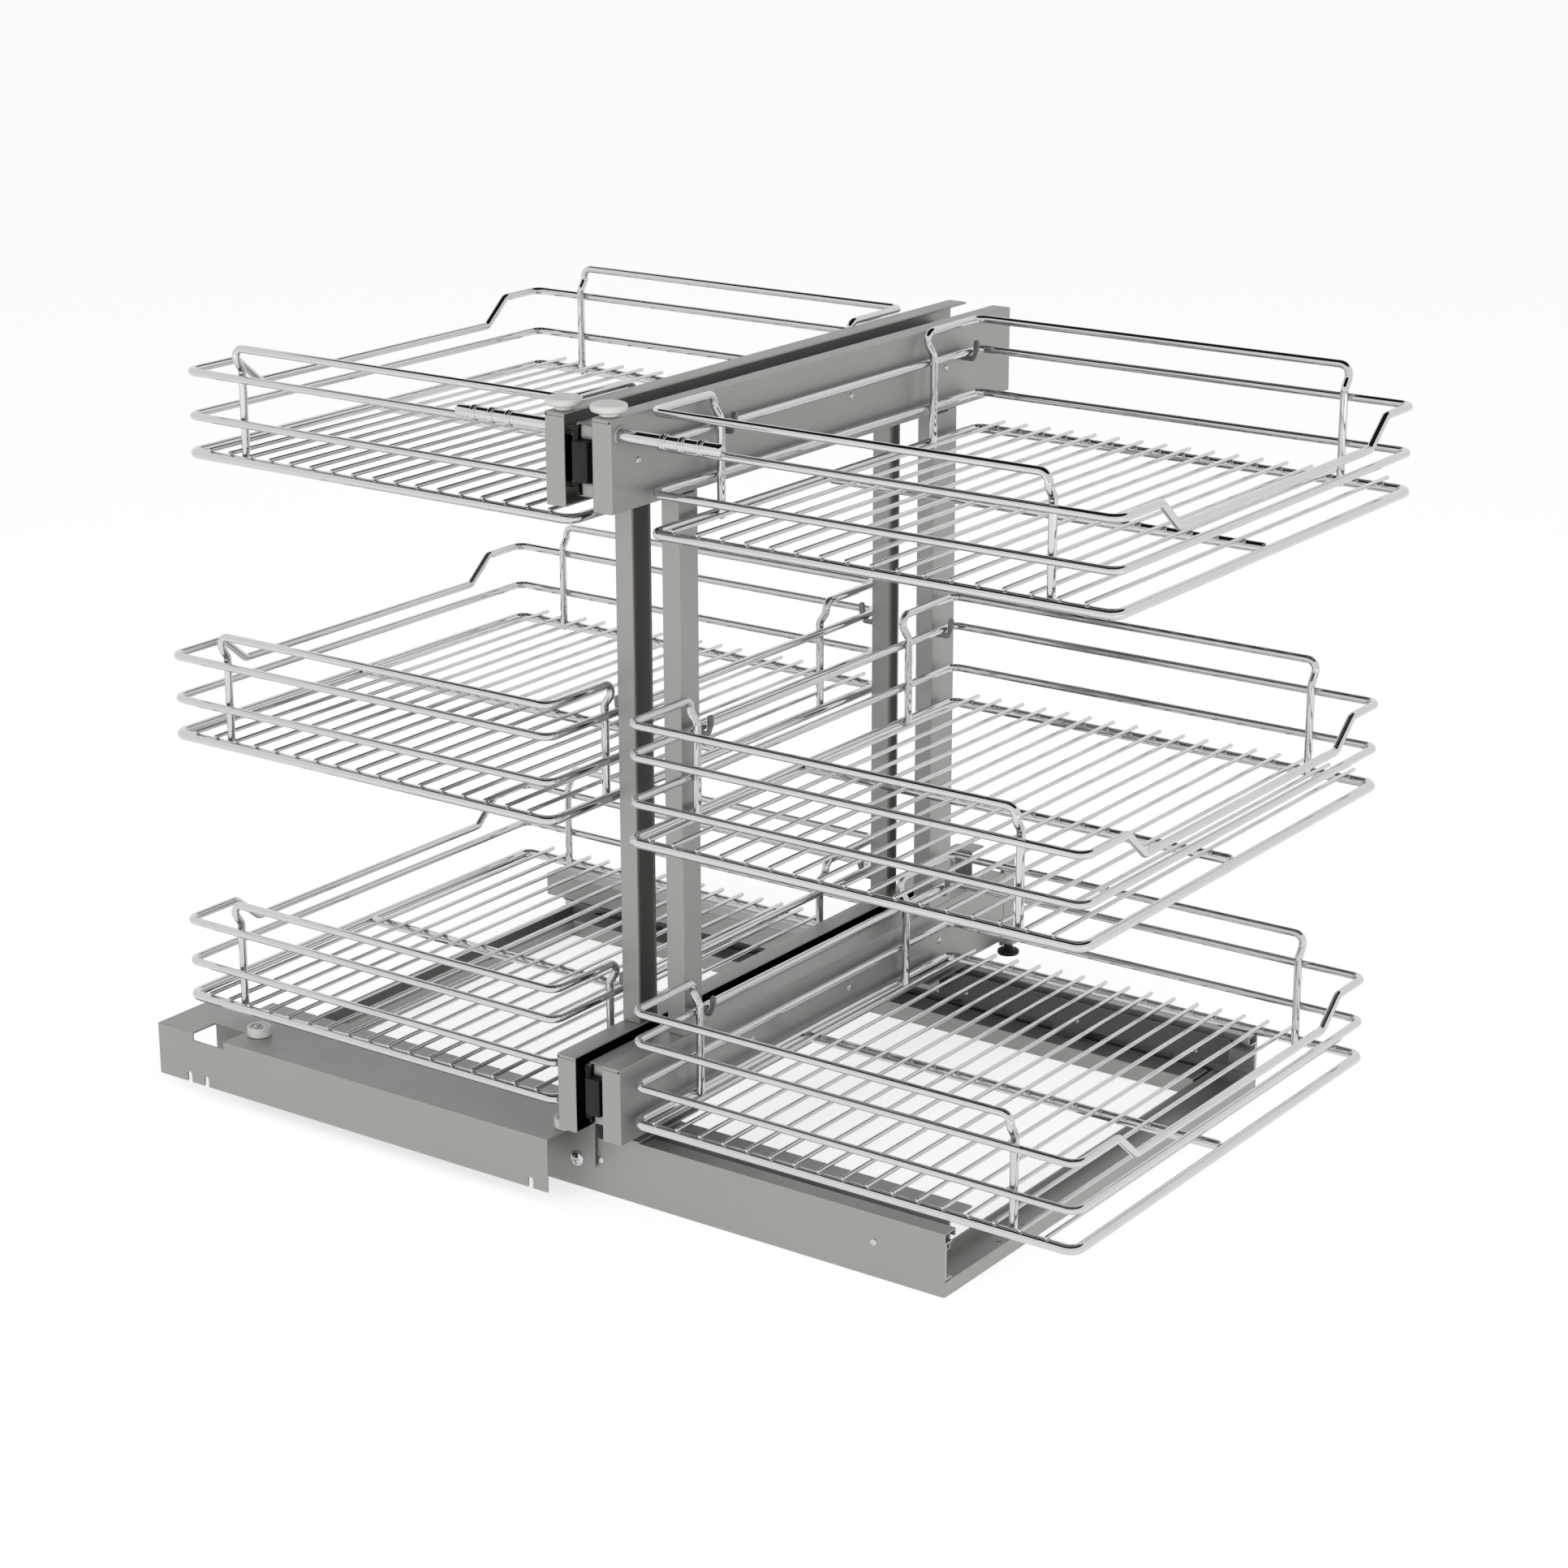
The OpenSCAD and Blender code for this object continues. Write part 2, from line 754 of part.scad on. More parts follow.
module masts() {
    color(sheet_color) right()
        for (y = [front_mast_y, back_mast_y])
            box([-mast_t / 2, y, mast_z0], [mast_t / 2, y + mast_w, top_beam_z]);
}

module end_cap(z0, h) {
    difference() {
        box([-beam_x, beam_y - cap_t, z0], [beam_x, beam_y, z0 + h]);
        box([-beam_x + cap_t, beam_y - cap_t - cut, z0 + cap_t],
            [beam_x + cut, beam_y + cut, z0 + h - cap_t]);
    }
    box([-beam_x + beam_t + hole_gap, beam_y - cap_block_d, z0 + h / 2 - cap_block_h / 2],
        [beam_x - beam_t - hole_gap, beam_y + cap_block_d, z0 + h / 2 + cap_block_h / 2]);
}

module end_caps() {
    color(black_color) right() {
        end_cap(low_beam_z, low_beam_h);
        end_cap(top_beam_z, top_beam_h);
        translate([0, beam_y + bumper_d / 2, bumper_z])
            cylinder(h = low_beam_z - bumper_z, r = bumper_d / 2);
    }
}

module roller_screws() {
    color(track_color) right() roller_places() {
        translate([0, 0, cover_low_z])
            cylinder(h = cover_roller_z + cover_roller_h - cover_low_z, r = pin_d / 2);
        translate([0, 0, cover_roller_z + cover_roller_h - roller_screw_h])
            cylinder(h = roller_screw_h, r = roller_screw_d / 2);
    }
}

module cover_roller(x) {
    color(white_color) right()
        translate([x, cover_roller_y, cover_roller_z])
            difference() {
                cylinder(h = cover_roller_h, r = cover_roller_d / 2);
                translate([0, 0, -cut])
                    cylinder(h = cover_roller_h + cut * 2, r = pin_d / 2 + pin_gap);
                translate([0, 0, cover_roller_h - roller_screw_h - run_gap])
                    cylinder(h = cover_roller_h, r = roller_screw_d / 2 + run_gap);
            }
}

module cover_roller_right() {
    cover_roller(cover_right - cover_roller_in);
}

module cover_roller_left() {
    cover_roller(cover_left + cover_roller_far);
}

// one slide member: a web with two flanges, around a mid height
module member(web, edge, half, y0, mid_z) {
    low_x = min(web, edge);
    high_x = max(web, edge);
    hollow_x0 = web < edge ? web + slide_t : low_x - cut;
    hollow_x1 = web < edge ? high_x + cut : web - slide_t;
    difference() {
        box([low_x, y0, mid_z - half], [high_x, y0 + slide_len, mid_z + half]);
        box([hollow_x0, y0 - cut, mid_z - half + slide_t],
            [hollow_x1, y0 + slide_len + cut, mid_z + half - slide_t]);
    }
}

module outer_pair() {
    for (mid_z = [low_mid_z, top_mid_z])
        member(beam_x, beam_x + slide_d, slide_h / 2, beam_y, mid_z);
}

module outer_slides() {
    color(track_color) {
        right() outer_pair();
        left() outer_pair();
    }
}

module middle_slides() {
    color(track_color)
        for (mid_z = [low_mid_z, top_mid_z])
            member(middle_x0, middle_x1, middle_half, beam_y, mid_z);
}

module inner_slides() {
    color(track_color)
        difference() {
            for (mid_z = [low_mid_z, top_mid_z])
                member(web_x, inner_x0, inner_half, beam_y, mid_z);
            rivet_holes();
        }
}

// rivet places: along the top channel and, but for the first, along the bottom one
module rivet_places() {
    for (i = [0 : rivet_count - 1])
        translate([face_x, top_front_y + rivet_first + i * rivet_pitch, top_mid_z])
            rotate([0, -90, 0]) children();
    for (i = [1 : rivet_count - 1])
        translate([face_x, top_front_y + rivet_first + i * rivet_pitch, low_mid_z])
            rotate([0, -90, 0]) children();
}

module rivet_holes() {
    rivet_places()
        translate([0, 0, -cut])
            cylinder(h = chan_t + slide_t + cut * 2, r = rivet_d * shank_share / 2 + hole_gap);
}

module rivets() {
    color(sheet_color) rivet_places() {
        translate([0, 0, -rivet_h])
            cylinder(h = rivet_h, r1 = rivet_d * dome_share, r2 = rivet_d / 2);
        cylinder(h = chan_t + slide_t, r = rivet_d * shank_share / 2);
    }
}

// channel open to the centre, with a front end wall
module channel(y0, len, z0, h) {
    difference() {
        box([chan_x0, y0, z0], [face_x, y0 + len, z0 + h]);
        box([chan_x0 - cut, y0 + chan_t, z0 + chan_t], [web_x, y0 + len + cut, z0 + h - chan_t]);
        rivet_holes();
    }
}

module top_channel() {
    color(sheet_color) {
        channel(top_front_y, top_len, top_z0, top_h);
        translate([roller_x, roller_y, top_z - chan_t])
            cylinder(h = stud_h, r = pin_d / 2);
    }
}

module bottom_channel() {
    color(sheet_color) channel(low_front_y, low_len, low_z, low_h);
}

module back_plate() {
    color(sheet_color)
        difference() {
            union() {
                box([web_x - chan_t, plate_y0, plate_z0 + chan_t * 4], [web_x, low_end_y, low_z1 - chan_t]);
                box([web_x, low_end_y, plate_z0], [face_x, plate_y1, plate_z0 + back_plate_h]);
                box([web_x - chan_t, low_end_y, plate_z0], [web_x, plate_y1, plate_z0 + back_plate_h]);
                box([face_x, foot_y - foot_tab_w / 2, foot_tab_z],
                    [foot_x + foot_tab_w / 2, plate_y1, foot_tab_z + chan_t]);
            }
            translate([foot_x, foot_y, foot_tab_z - cut])
                cylinder(h = chan_t + cut * 2, r = foot_stem_d / 2 + hole_gap);
        }
}

module foot() {
    color(black_color)
        translate([foot_x, foot_y, foot_z]) {
            cylinder(h = foot_t, r = foot_d / 2);
            cylinder(h = foot_tab_z + chan_t - foot_z, r = foot_stem_d / 2);
        }
}

module post(y0, d, lip) {
    box([web_x, y0, low_z1], [face_x, y0 + d, top_z0]);
    box([post_x0, y0, low_z1], [face_x, y0 + chan_t, top_z0]);
    box([face_x - lip, y0 + d - chan_t, low_z1], [face_x, y0 + d, top_z0]);
}

module front_post() {
    color(sheet_color) post(front_post_y, front_post_d, post_w);
}

module back_post() {
    color(sheet_color) post(back_post_y, back_post_d, post_lip);
}

module handle() {
    color(chrome_color)
        translate([face_x, top_front_y + handle_y, handle_z])
            rotate([0, 90, 0]) {
                cylinder(h = handle_len - tip_len, r = handle_d / 2);
                translate([0, 0, handle_len - tip_len])
                    cylinder(h = tip_len, r1 = handle_d / 2, r2 = handle_d / 2 - tip_len);
                cylinder(h = collar_t, r = collar_d / 2);
                for (i = [1 : ring_count])
                    translate([0, 0, handle_len - tip_len - i * ring_pitch - collar_t / 2])
                        cylinder(h = collar_t, r = handle_d / 2 + ring_out);
            }
}

// hook under the upper inner wire of a basket
module hook(y, z) {
    lip_z = z - wire_r - hook_gap - hook_t;
    lip_x = basket_x + wire_r + hook_gap;
    box([face_x, y - hook_w / 2, z - hook_h / 2], [face_x + hook_t, y + hook_w / 2, z + hook_h / 2]);
    box([face_x, y - hook_w / 2, lip_z], [lip_x + hook_t, y + hook_w / 2, lip_z + hook_t]);
    box([lip_x, y - hook_w / 2, lip_z], [lip_x + hook_t, y + hook_w / 2, z]);
}

module hooks() {
    color(sheet_color)
        for (level = [0 : 2]) {
            hook(basket_y[level] + hook_front_in, basket_z + level * tier_pitch + top_wire_z);
            hook(basket_y[level] + basket_d - hook_back_in, basket_z + level * tier_pitch + top_wire_z);
        }
}

module top_roller() {
    color(white_color)
        translate([roller_x, roller_y, roller_z])
            difference() {
                union() {
                    cylinder(h = top_roller_h + hub_h, r = hub_d / 2);
                    translate([0, 0, hub_h]) cylinder(h = top_roller_h, r = top_roller_d / 2);
                }
                translate([0, 0, -cut])
                    cylinder(h = top_roller_h + cut, r = pin_d / 2 + pin_gap);
            }
}

module three_sides(z, r) {
    bar([corner_r, 0, z], [basket_w - corner_r, 0, z], r);
    bar([basket_w - corner_r, basket_d, z], [corner_r, basket_d, z], r);
    bar([0, basket_d - corner_r, z], [0, corner_r, z], r);
    arc_flat([corner_r, corner_r, z], corner_r, 180, 90, r);
    arc_flat([basket_w - corner_r, corner_r, z], corner_r, 270, 90, r);
    arc_flat([basket_w - corner_r, basket_d - corner_r, z], corner_r, 0, 90, r);
    arc_flat([corner_r, basket_d - corner_r, z], corner_r, 90, 90, r);
}

// closed wire loop with four plain sides
module plain_loop(z, r) {
    three_sides(z, r);
    bar([basket_w, corner_r, z], [basket_w, basket_d - corner_r, z], r);
}

// outer side of the upper wire, with its lower stretch
module dipped_side() {
    z = top_wire_z;
    low = z - dip_drop;
    a = dip_front;
    b = a + dip_run;
    d = basket_d - dip_back;
    c = d - dip_run;
    ty = dip_t * cos(dip_angle);
    tz = dip_t * sin(dip_angle);
    x = basket_w;
    bar([x, corner_r, z], [x, a - dip_t, z], wire_r);
    arc_along([x, a - dip_t, z - bend_r], bend_r, 90, -dip_angle);
    slant([x, a + ty, z - tz], [x, b - ty, low + tz]);
    arc_along([x, b + dip_t, low + bend_r], bend_r, 270, -dip_angle);
    bar([x, b + dip_t, low], [x, c - dip_t, low], wire_r);
    arc_along([x, c - dip_t, low + bend_r], bend_r, 270, dip_angle);
    slant([x, c + ty, low + tz], [x, d - ty, z - tz]);
    arc_along([x, d + dip_t, z - bend_r], bend_r, 90, dip_angle);
    bar([x, d + dip_t, z], [x, basket_d - corner_r, z], wire_r);
}

// leg that steps inwards below the raised rail and runs down inside the wires
module leg() {
    z = gallery_z - bend_r;
    end_z = z - 2 * bend_r * sin(leg_slant) - slant_len * cos(leg_slant);
    step_y = bend_r * (1 - cos(leg_slant));
    step_z = bend_r * sin(leg_slant);
    arc_along([0, bend_r, z], bend_r, 180, leg_slant);
    slant([0, step_y, z - step_z], [0, leg_in - step_y, end_z + step_z]);
    arc_along([0, leg_in - bend_r, end_z], bend_r, 0, leg_slant);
    bar([0, leg_in, end_z], [0, leg_in, -wire_r], wire_r);
}

// raised rail around one inner corner
module gallery() {
    z = gallery_z;
    bar([corner_r, 0, z], [leg_x - bend_r, 0, z], wire_r);
    bar([0, corner_r, z], [0, leg_y - bend_r, z], wire_r);
    arc_flat([corner_r, corner_r, z], corner_r, 180, 90);
    arc_across([leg_x - bend_r, 0, z - bend_r], bend_r, 0, 90);
    arc_along([0, leg_y - bend_r, z - bend_r], bend_r, 0, 90);
    translate([leg_x, 0, 0]) leg();
    translate([0, leg_y, 0]) rotate([0, 0, -90]) leg();
}

module basket_place(level) {
    translate([basket_x, basket_y[level], basket_z + level * tier_pitch]) children();
}

module basket_rim(level) {
    $fn = 24;
    color(chrome_color) basket_place(level) {
        plain_loop(0, low_wire_r);
        plain_loop(mid_wire_z, wire_r);
        three_sides(top_wire_z, wire_r);
        dipped_side();
        gallery();
        translate([0, basket_d, 0]) mirror([0, 1, 0]) gallery();
    }
}

module basket_floor(level) {
    color(chrome_color) basket_place(level) {
        for (i = [0 : floor_wires - 1])
            bar([first_wire + i * floor_pitch, -wire_nose, floor_z],
                [first_wire + i * floor_pitch, basket_d + wire_tail, floor_z], floor_r);
        bar([low_wire_r - weld, basket_d / 2, 0],
            [basket_w - low_wire_r + weld, basket_d / 2, 0], low_wire_r);
    }
}

module middle_slides_right() { right() middle_slides(); }
module top_channel_right() { right() top_channel(); }
module bottom_channel_right() { right() bottom_channel(); }
module back_plate_right() { right() back_plate(); }
module front_post_right() { right() front_post(); }
module back_post_right() { right() back_post(); }
module handle_right() { right() handle(); }
module hooks_right() { right() hooks(); }
module rivets_right() { right() rivets(); }
module foot_right() { right() foot(); }
module inner_slides_right() { right() inner_slides(); }
module rim_top_right() { right() basket_rim(2); }
module rim_middle_right() { right() basket_rim(1); }
module rim_bottom_right() { right() basket_rim(0); }
module floor_top_right() { right() basket_floor(2); }
module floor_middle_right() { right() basket_floor(1); }
module floor_bottom_right() { right() basket_floor(0); }
module top_roller_right() { right() top_roller(); }
module middle_slides_left() { left() middle_slides(); }
module top_channel_left() { left() top_channel(); }
module bottom_channel_left() { left() bottom_channel(); }
module back_plate_left() { left() back_plate(); }
module front_post_left() { left() front_post(); }
module back_post_left() { left() back_post(); }
module handle_left() { left() handle(); }
module hooks_left() { left() hooks(); }
module rivets_left() { left() rivets(); }
module foot_left() { left() foot(); }
module inner_slides_left() { left() inner_slides(); }
module rim_top_left() { left() basket_rim(2); }
module rim_middle_left() { left() basket_rim(1); }
module rim_bottom_left() { left() basket_rim(0); }
module floor_top_left() { left() basket_floor(2); }
module floor_middle_left() { left() basket_floor(1); }
module floor_bottom_left() { left() basket_floor(0); }
module top_roller_left() { left() top_roller(); }

front_rail();
back_rail();
side_member_left();
side_member_right();
front_track();
back_track();
front_guide();
back_guide();
rail_pins();
front_cover();
front_runner();
back_runner();
back_apron();
front_saddle();
back_saddle();
bottom_beam();
top_beam();
masts();
end_caps();
saddle_screw();
roller_screws();
outer_slides();
cover_roller_left();
cover_roller_right();
middle_slides_right();
top_channel_right();
bottom_channel_right();
back_plate_right();
front_post_right();
back_post_right();
handle_right();
hooks_right();
rivets_right();
foot_right();
inner_slides_right();
rim_top_right();
rim_middle_right();
rim_bottom_right();
floor_top_right();
floor_middle_right();
floor_bottom_right();
top_roller_right();
middle_slides_left();
top_channel_left();
bottom_channel_left();
back_plate_left();
front_post_left();
back_post_left();
handle_left();
hooks_left();
rivets_left();
foot_left();
inner_slides_left();
rim_top_left();
rim_middle_left();
rim_bottom_left();
floor_top_left();
floor_middle_left();
floor_bottom_left();
top_roller_left();
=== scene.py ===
import json
import math

import bmesh
import bpy
from mathutils import Matrix, Vector


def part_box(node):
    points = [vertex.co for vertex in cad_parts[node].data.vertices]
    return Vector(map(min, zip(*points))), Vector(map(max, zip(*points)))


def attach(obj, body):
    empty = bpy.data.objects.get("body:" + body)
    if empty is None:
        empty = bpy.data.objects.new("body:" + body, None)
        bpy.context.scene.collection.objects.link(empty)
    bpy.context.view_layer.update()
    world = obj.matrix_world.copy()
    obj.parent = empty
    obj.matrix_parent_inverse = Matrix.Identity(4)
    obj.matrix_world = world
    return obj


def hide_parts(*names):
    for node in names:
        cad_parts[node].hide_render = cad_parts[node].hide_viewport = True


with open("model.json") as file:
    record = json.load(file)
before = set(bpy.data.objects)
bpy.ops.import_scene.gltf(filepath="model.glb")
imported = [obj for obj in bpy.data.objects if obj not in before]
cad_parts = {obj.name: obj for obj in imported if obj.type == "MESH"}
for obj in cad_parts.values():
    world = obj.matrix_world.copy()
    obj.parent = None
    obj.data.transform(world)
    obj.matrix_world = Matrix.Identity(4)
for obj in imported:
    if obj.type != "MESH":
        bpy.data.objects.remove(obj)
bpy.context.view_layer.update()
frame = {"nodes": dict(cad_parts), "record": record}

# Sizes are in millimetres unless a line says otherwise. X and Y start at the middle of the floor screws and Z at the
# floor, but the X sizes of the centre and of the two frames start at CARRIAGE_X.
MM = 0.001
CARRIAGE_X = 64
SIDES = {"right": 1, "left": -1}

# Baskets, from the inner front corner and the middle of the lowest wire.
BASKET_X = 37.5
BASKET_W = 385
BASKET_D = 434
BASKET_Z = 82.4
TIER_PITCH = 224.5
BASKET_Y = (-264.1, -264.1, -231.6)
LEVELS = ("bottom", "middle", "top")
WIRE_D = 6.3
LOW_WIRE_D = 7.9
FLOOR_WIRE_D = 3.4
WELD = 0.3                              # how far two welded wires sink into each other
CORNER_R = 9
BEND_R = 7
MID_WIRE_Z = 29.9
TOP_WIRE_Z = 65.4
GALLERY_Z = 89.9
DIP_DROP = 21
DIP_RUN = 25
DIP_FRONT = 56
DIP_BACK = 44
LEG_X = 331
LEG_Y = 75
LEG_SLANT = math.radians(35)
FLOOR_WIRES = 17                        # how many
FIRST_WIRE = 19.5
LAST_WIRE = 22.3
WIRE_TAIL = 11
WIRE_NOSE = 3
RIM_WELD_DROP = (1.5, 1.5, 1.9)
FLOOR_WELD_DROP = (1.25, 1.7, 0.8)

# Sheet parts: roundings, the shortest edge that is rounded, and the least reach of the faces at a fold.
FOLD_R = 0.7
CHANNEL_FOLD_R = 1.0
INNER_R = 0.35
EDGE_R = 0.15
SHORTEST_EDGE = 1.2
FOLD_REACH = 3.5

# Channels, with the handle, the rivets and the hooks on them.
FACE_X = 30
TOP_FRONT_Y = -269.3
LOW_FRONT_Y = -271.9
TOP_Z = 620.5
TOP_MID_Z = 586
LOW_MID_Z = 95
LOW_CHANNEL_TOP = LOW_MID_Z + 31
HANDLE_Y = TOP_FRONT_Y + 10.7
HANDLE_Z = TOP_Z - 12.5
HANDLE_R = 5
HANDLE_LEN = 91
HANDLE_END_R = 3.0
RING_PLACES = (40.3, 56.7, 73.1)
RIVET_FIRST = 31.9
RIVET_PITCH = 134.4
RIVETS_IN_ROW = 4                       # how many
HOOK_FRONT_IN = 90
HOOK_BACK_IN = 14.5
HOOK_THICK = 2.4
HOOK_EDGE_R = 0.35

# Painted shadow of the slits, as dark strips: (first x, last x, low z, high z) at the fold of an end wall, with z from
# the top of its channel, and (first y, last y) where a post meets the top channel.
SEAM_LINES = ((13.2, 28.2, -3.0, -2.7), (28.0, 29.6, -3.2, -1.4))
SEAM_Y = (-0.06, 0.3)
POST_SLITS = ((-187.0, -172.2), (151.2, 169.5))
POST_SLIT_X = (29.7, 30.06)
POST_SLIT_Z = (550.1, 551.3)

# Centre beams: (middle height, half height) of the bottom and the top beam, and the parts on their front ends.
BEAM_X = 8.5
BEAM_Y = -259.9
LOW_BEAM_HALF = 25
BEAMS = ((LOW_MID_Z, LOW_BEAM_HALF), (TOP_MID_Z, 27))
STOP_X = 6.9
STOP_Y = 8
STOP_HALF = 15
STOP_EDGE_R = 0.7
CAP_NEAR = 1.2
CAP_FAR = 4.2
CAP_DEEP = 3
CAP_THICK = 2.2
CAP_BEND_R = 2.8
NOSE_X = (-4.2, 8.2)
NOSE_Y = (-1.5, 4)
NOSE_GAP = 0.2
NOSE_INSET = 0.3
NOSE_EDGE_R = 2.2
BUMPER_R = 7.75

# Floor rails and small screws. A head is its radius and height, a shank its radius and length.
RAIL_Y = 236.5
PIN_PLACES = (-300, -46, 46, 300)
PIN_Z = 28
GUIDE_SCREWS = ((93, 33.6), (204, 33.6), (318, 33.6), (-312, 37.8))
GUIDE_SCREW_Y = 211.5
RIVET_HEAD, RIVET_SHANK = (2.8, 1.4), (1.1, 3.2)
PIN_HEAD, PIN_SHANK = (3.0, 1.4), (1.5, 3.0)
SADDLE_HEAD = (6.4, 3.2)
SADDLE_HEAD_SEAT = 3
GUIDE_HEAD = (4.2, 2.2)
ROLLER_HEAD_TOP = 7.9


def mm(*values):
    """A point given in millimetres, in the frame's metres."""
    return Vector(values) * MM


# Shader node groups.
def group_with(name, inputs, outputs):
    """An empty shader group with these sockets, and its input and output nodes."""
    group = bpy.data.node_groups.new(name, "ShaderNodeTree")
    for label, kind, value in inputs:
        socket = group.interface.new_socket(label, in_out="INPUT", socket_type=kind)
        if value is not None:
            socket.default_value = value
    for label, kind in outputs:
        group.interface.new_socket(label, in_out="OUTPUT", socket_type=kind)
    return group, group.nodes.new("NodeGroupInput"), group.nodes.new("NodeGroupOutput")


def math_node(tree, operation, *values, clamp=False):
    """A Math node whose inputs are sockets or plain numbers."""
    node = tree.nodes.new("ShaderNodeMath")
    node.operation = operation
    node.use_clamp = clamp
    for slot, value in zip(node.inputs, values):
        if isinstance(value, (int, float)):
            slot.default_value = value
        else:
            tree.links.new(value, slot)
    return node.outputs[0]


def noise_node(tree, vector, scale, detail=3.0):
    """A Noise texture read at vector; scale is a socket."""
    node = tree.nodes.new("ShaderNodeTexNoise")
    node.inputs["Detail"].default_value = detail
    node.inputs["Roughness"].default_value = 0.55
    tree.links.new(vector, node.inputs["Vector"])
    tree.links.new(scale, node.inputs["Scale"])
    return node.outputs["Fac"]


def make_tone_drift():
    """Slow light and dark patches over a colour."""
    group, given, out = group_with(
        "tone_drift",
        [("Vector", "NodeSocketVector", None), ("Color", "NodeSocketColor", (0.5, 0.5, 0.5, 1)),
         ("Scale", "NodeSocketFloat", 6.0), ("Amount", "NodeSocketFloat", 0.08)],
        [("Color", "NodeSocketColor")])
    wide = noise_node(group, given.outputs["Vector"], given.outputs["Scale"])
    centred = math_node(group, "SUBTRACT", wide, 0.5)
    swing = math_node(group, "MULTIPLY", centred, given.outputs["Amount"])
    factor = math_node(group, "MULTIPLY_ADD", swing, 2.0, 1.0)
    scaled = group.nodes.new("ShaderNodeVectorMath")
    scaled.operation = "SCALE"
    group.links.new(given.outputs["Color"], scaled.inputs[0])
    group.links.new(factor, scaled.inputs["Scale"])
    group.links.new(scaled.outputs[0], out.inputs["Color"])
    return group


def make_gloss_drift():
    """Roughness that wanders a little, as on a handled or rolled surface."""
    group, given, out = group_with(
        "gloss_drift",
        [("Vector", "NodeSocketVector", None), ("Roughness", "NodeSocketFloat", 0.3),
         ("Scale", "NodeSocketFloat", 12.0), ("Amount", "NodeSocketFloat", 0.05)],
        [("Roughness", "NodeSocketFloat")])
    wide = noise_node(group, given.outputs["Vector"], given.outputs["Scale"], detail=4.0)
    centred = math_node(group, "SUBTRACT", wide, 0.5)
    swing = math_node(group, "MULTIPLY", centred, given.outputs["Amount"])
    value = math_node(group, "MULTIPLY_ADD", swing, 2.0, given.outputs["Roughness"], clamp=True)
    group.links.new(value, out.inputs["Roughness"])
    return group


def make_fine_grain():
    """Height of a fine grain, stretched along an axis for rolled or drawn metal."""
    group, given, out = group_with(
        "fine_grain",
        [("Vector", "NodeSocketVector", None), ("Stretch", "NodeSocketVector", (1, 1, 1)),
         ("Scale", "NodeSocketFloat", 400.0)],
        [("Height", "NodeSocketFloat")])
    stretched = group.nodes.new("ShaderNodeVectorMath")
    stretched.operation = "MULTIPLY"
    group.links.new(given.outputs["Vector"], stretched.inputs[0])
    group.links.new(given.outputs["Stretch"], stretched.inputs[1])
    height = noise_node(group, stretched.outputs[0], given.outputs["Scale"], detail=2.0)
    group.links.new(height, out.inputs["Height"])
    return group


def make_settled_dust():
    """Mask of a thin film that lies on faces that look up, broken into patches."""
    group, given, out = group_with(
        "settled_dust",
        [("Vector", "NodeSocketVector", None), ("Amount", "NodeSocketFloat", 0.15),
         ("Scale", "NodeSocketFloat", 40.0)],
        [("Mask", "NodeSocketFloat")])
    shape = group.nodes.new("ShaderNodeNewGeometry")
    parts = group.nodes.new("ShaderNodeSeparateXYZ")
    group.links.new(shape.outputs["Normal"], parts.inputs[0])
    up = math_node(group, "POWER", math_node(group, "MAXIMUM", parts.outputs["Z"], 0.0), 3.0)
    patches = noise_node(group, given.outputs["Vector"], given.outputs["Scale"], detail=5.0)
    lying = math_node(group, "MULTIPLY", up, patches)
    mask = math_node(group, "MULTIPLY", lying, given.outputs["Amount"], clamp=True)
    group.links.new(mask, out.inputs["Mask"])
    return group


TONE_DRIFT = make_tone_drift()
GLOSS_DRIFT = make_gloss_drift()
FINE_GRAIN = make_fine_grain()
SETTLED_DUST = make_settled_dust()


def placed(tree, group, **values):
    """The group as a node of a material, with its own values."""
    node = tree.nodes.new("ShaderNodeGroup")
    node.node_tree = group
    for label, value in values.items():
        slot = node.inputs[label]
        if isinstance(value, bpy.types.NodeSocket):
            tree.links.new(value, slot)
        else:
            slot.default_value = value
    return node


DUST_COLOR = (0.62, 0.61, 0.59, 1)


def material(name, color, roughness, tone, gloss, metallic=0.0, grain=None, dust=0.0, specular=0.5):
    """A finish of one colour. tone and gloss are (scale, amount) of a drift, grain is (scale, stretch, depth in mm)."""
    made = bpy.data.materials.new(name)
    made.use_nodes = True
    tree = made.node_tree
    shader = tree.nodes["Principled BSDF"]
    place = tree.nodes.new("ShaderNodeTexCoord").outputs["Object"]
    rgba = (*color, 1.0)
    base = placed(tree, TONE_DRIFT, Vector=place, Color=rgba, Scale=tone[0], Amount=tone[1]).outputs["Color"]
    if dust:
        mask = placed(tree, SETTLED_DUST, Vector=place, Amount=dust).outputs["Mask"]
        mix = tree.nodes.new("ShaderNodeMix")
        mix.data_type = "RGBA"
        mix.inputs["B"].default_value = DUST_COLOR
        tree.links.new(mask, mix.inputs["Factor"])
        tree.links.new(base, mix.inputs["A"])
        base = mix.outputs["Result"]
    tree.links.new(base, shader.inputs["Base Color"])
    rough = placed(tree, GLOSS_DRIFT, Vector=place, Roughness=roughness, Scale=gloss[0], Amount=gloss[1])
    tree.links.new(rough.outputs["Roughness"], shader.inputs["Roughness"])
    if grain:
        height = placed(tree, FINE_GRAIN, Vector=place, Stretch=grain[1], Scale=grain[0]).outputs["Height"]
        bump = tree.nodes.new("ShaderNodeBump")
        bump.inputs["Strength"].default_value = 0.6
        bump.inputs["Distance"].default_value = grain[2] * MM
        tree.links.new(height, bump.inputs["Height"])
        tree.links.new(bump.outputs["Normal"], shader.inputs["Normal"])
    shader.inputs["Metallic"].default_value = metallic
    shader.inputs["Specular IOR Level"].default_value = specular
    return made


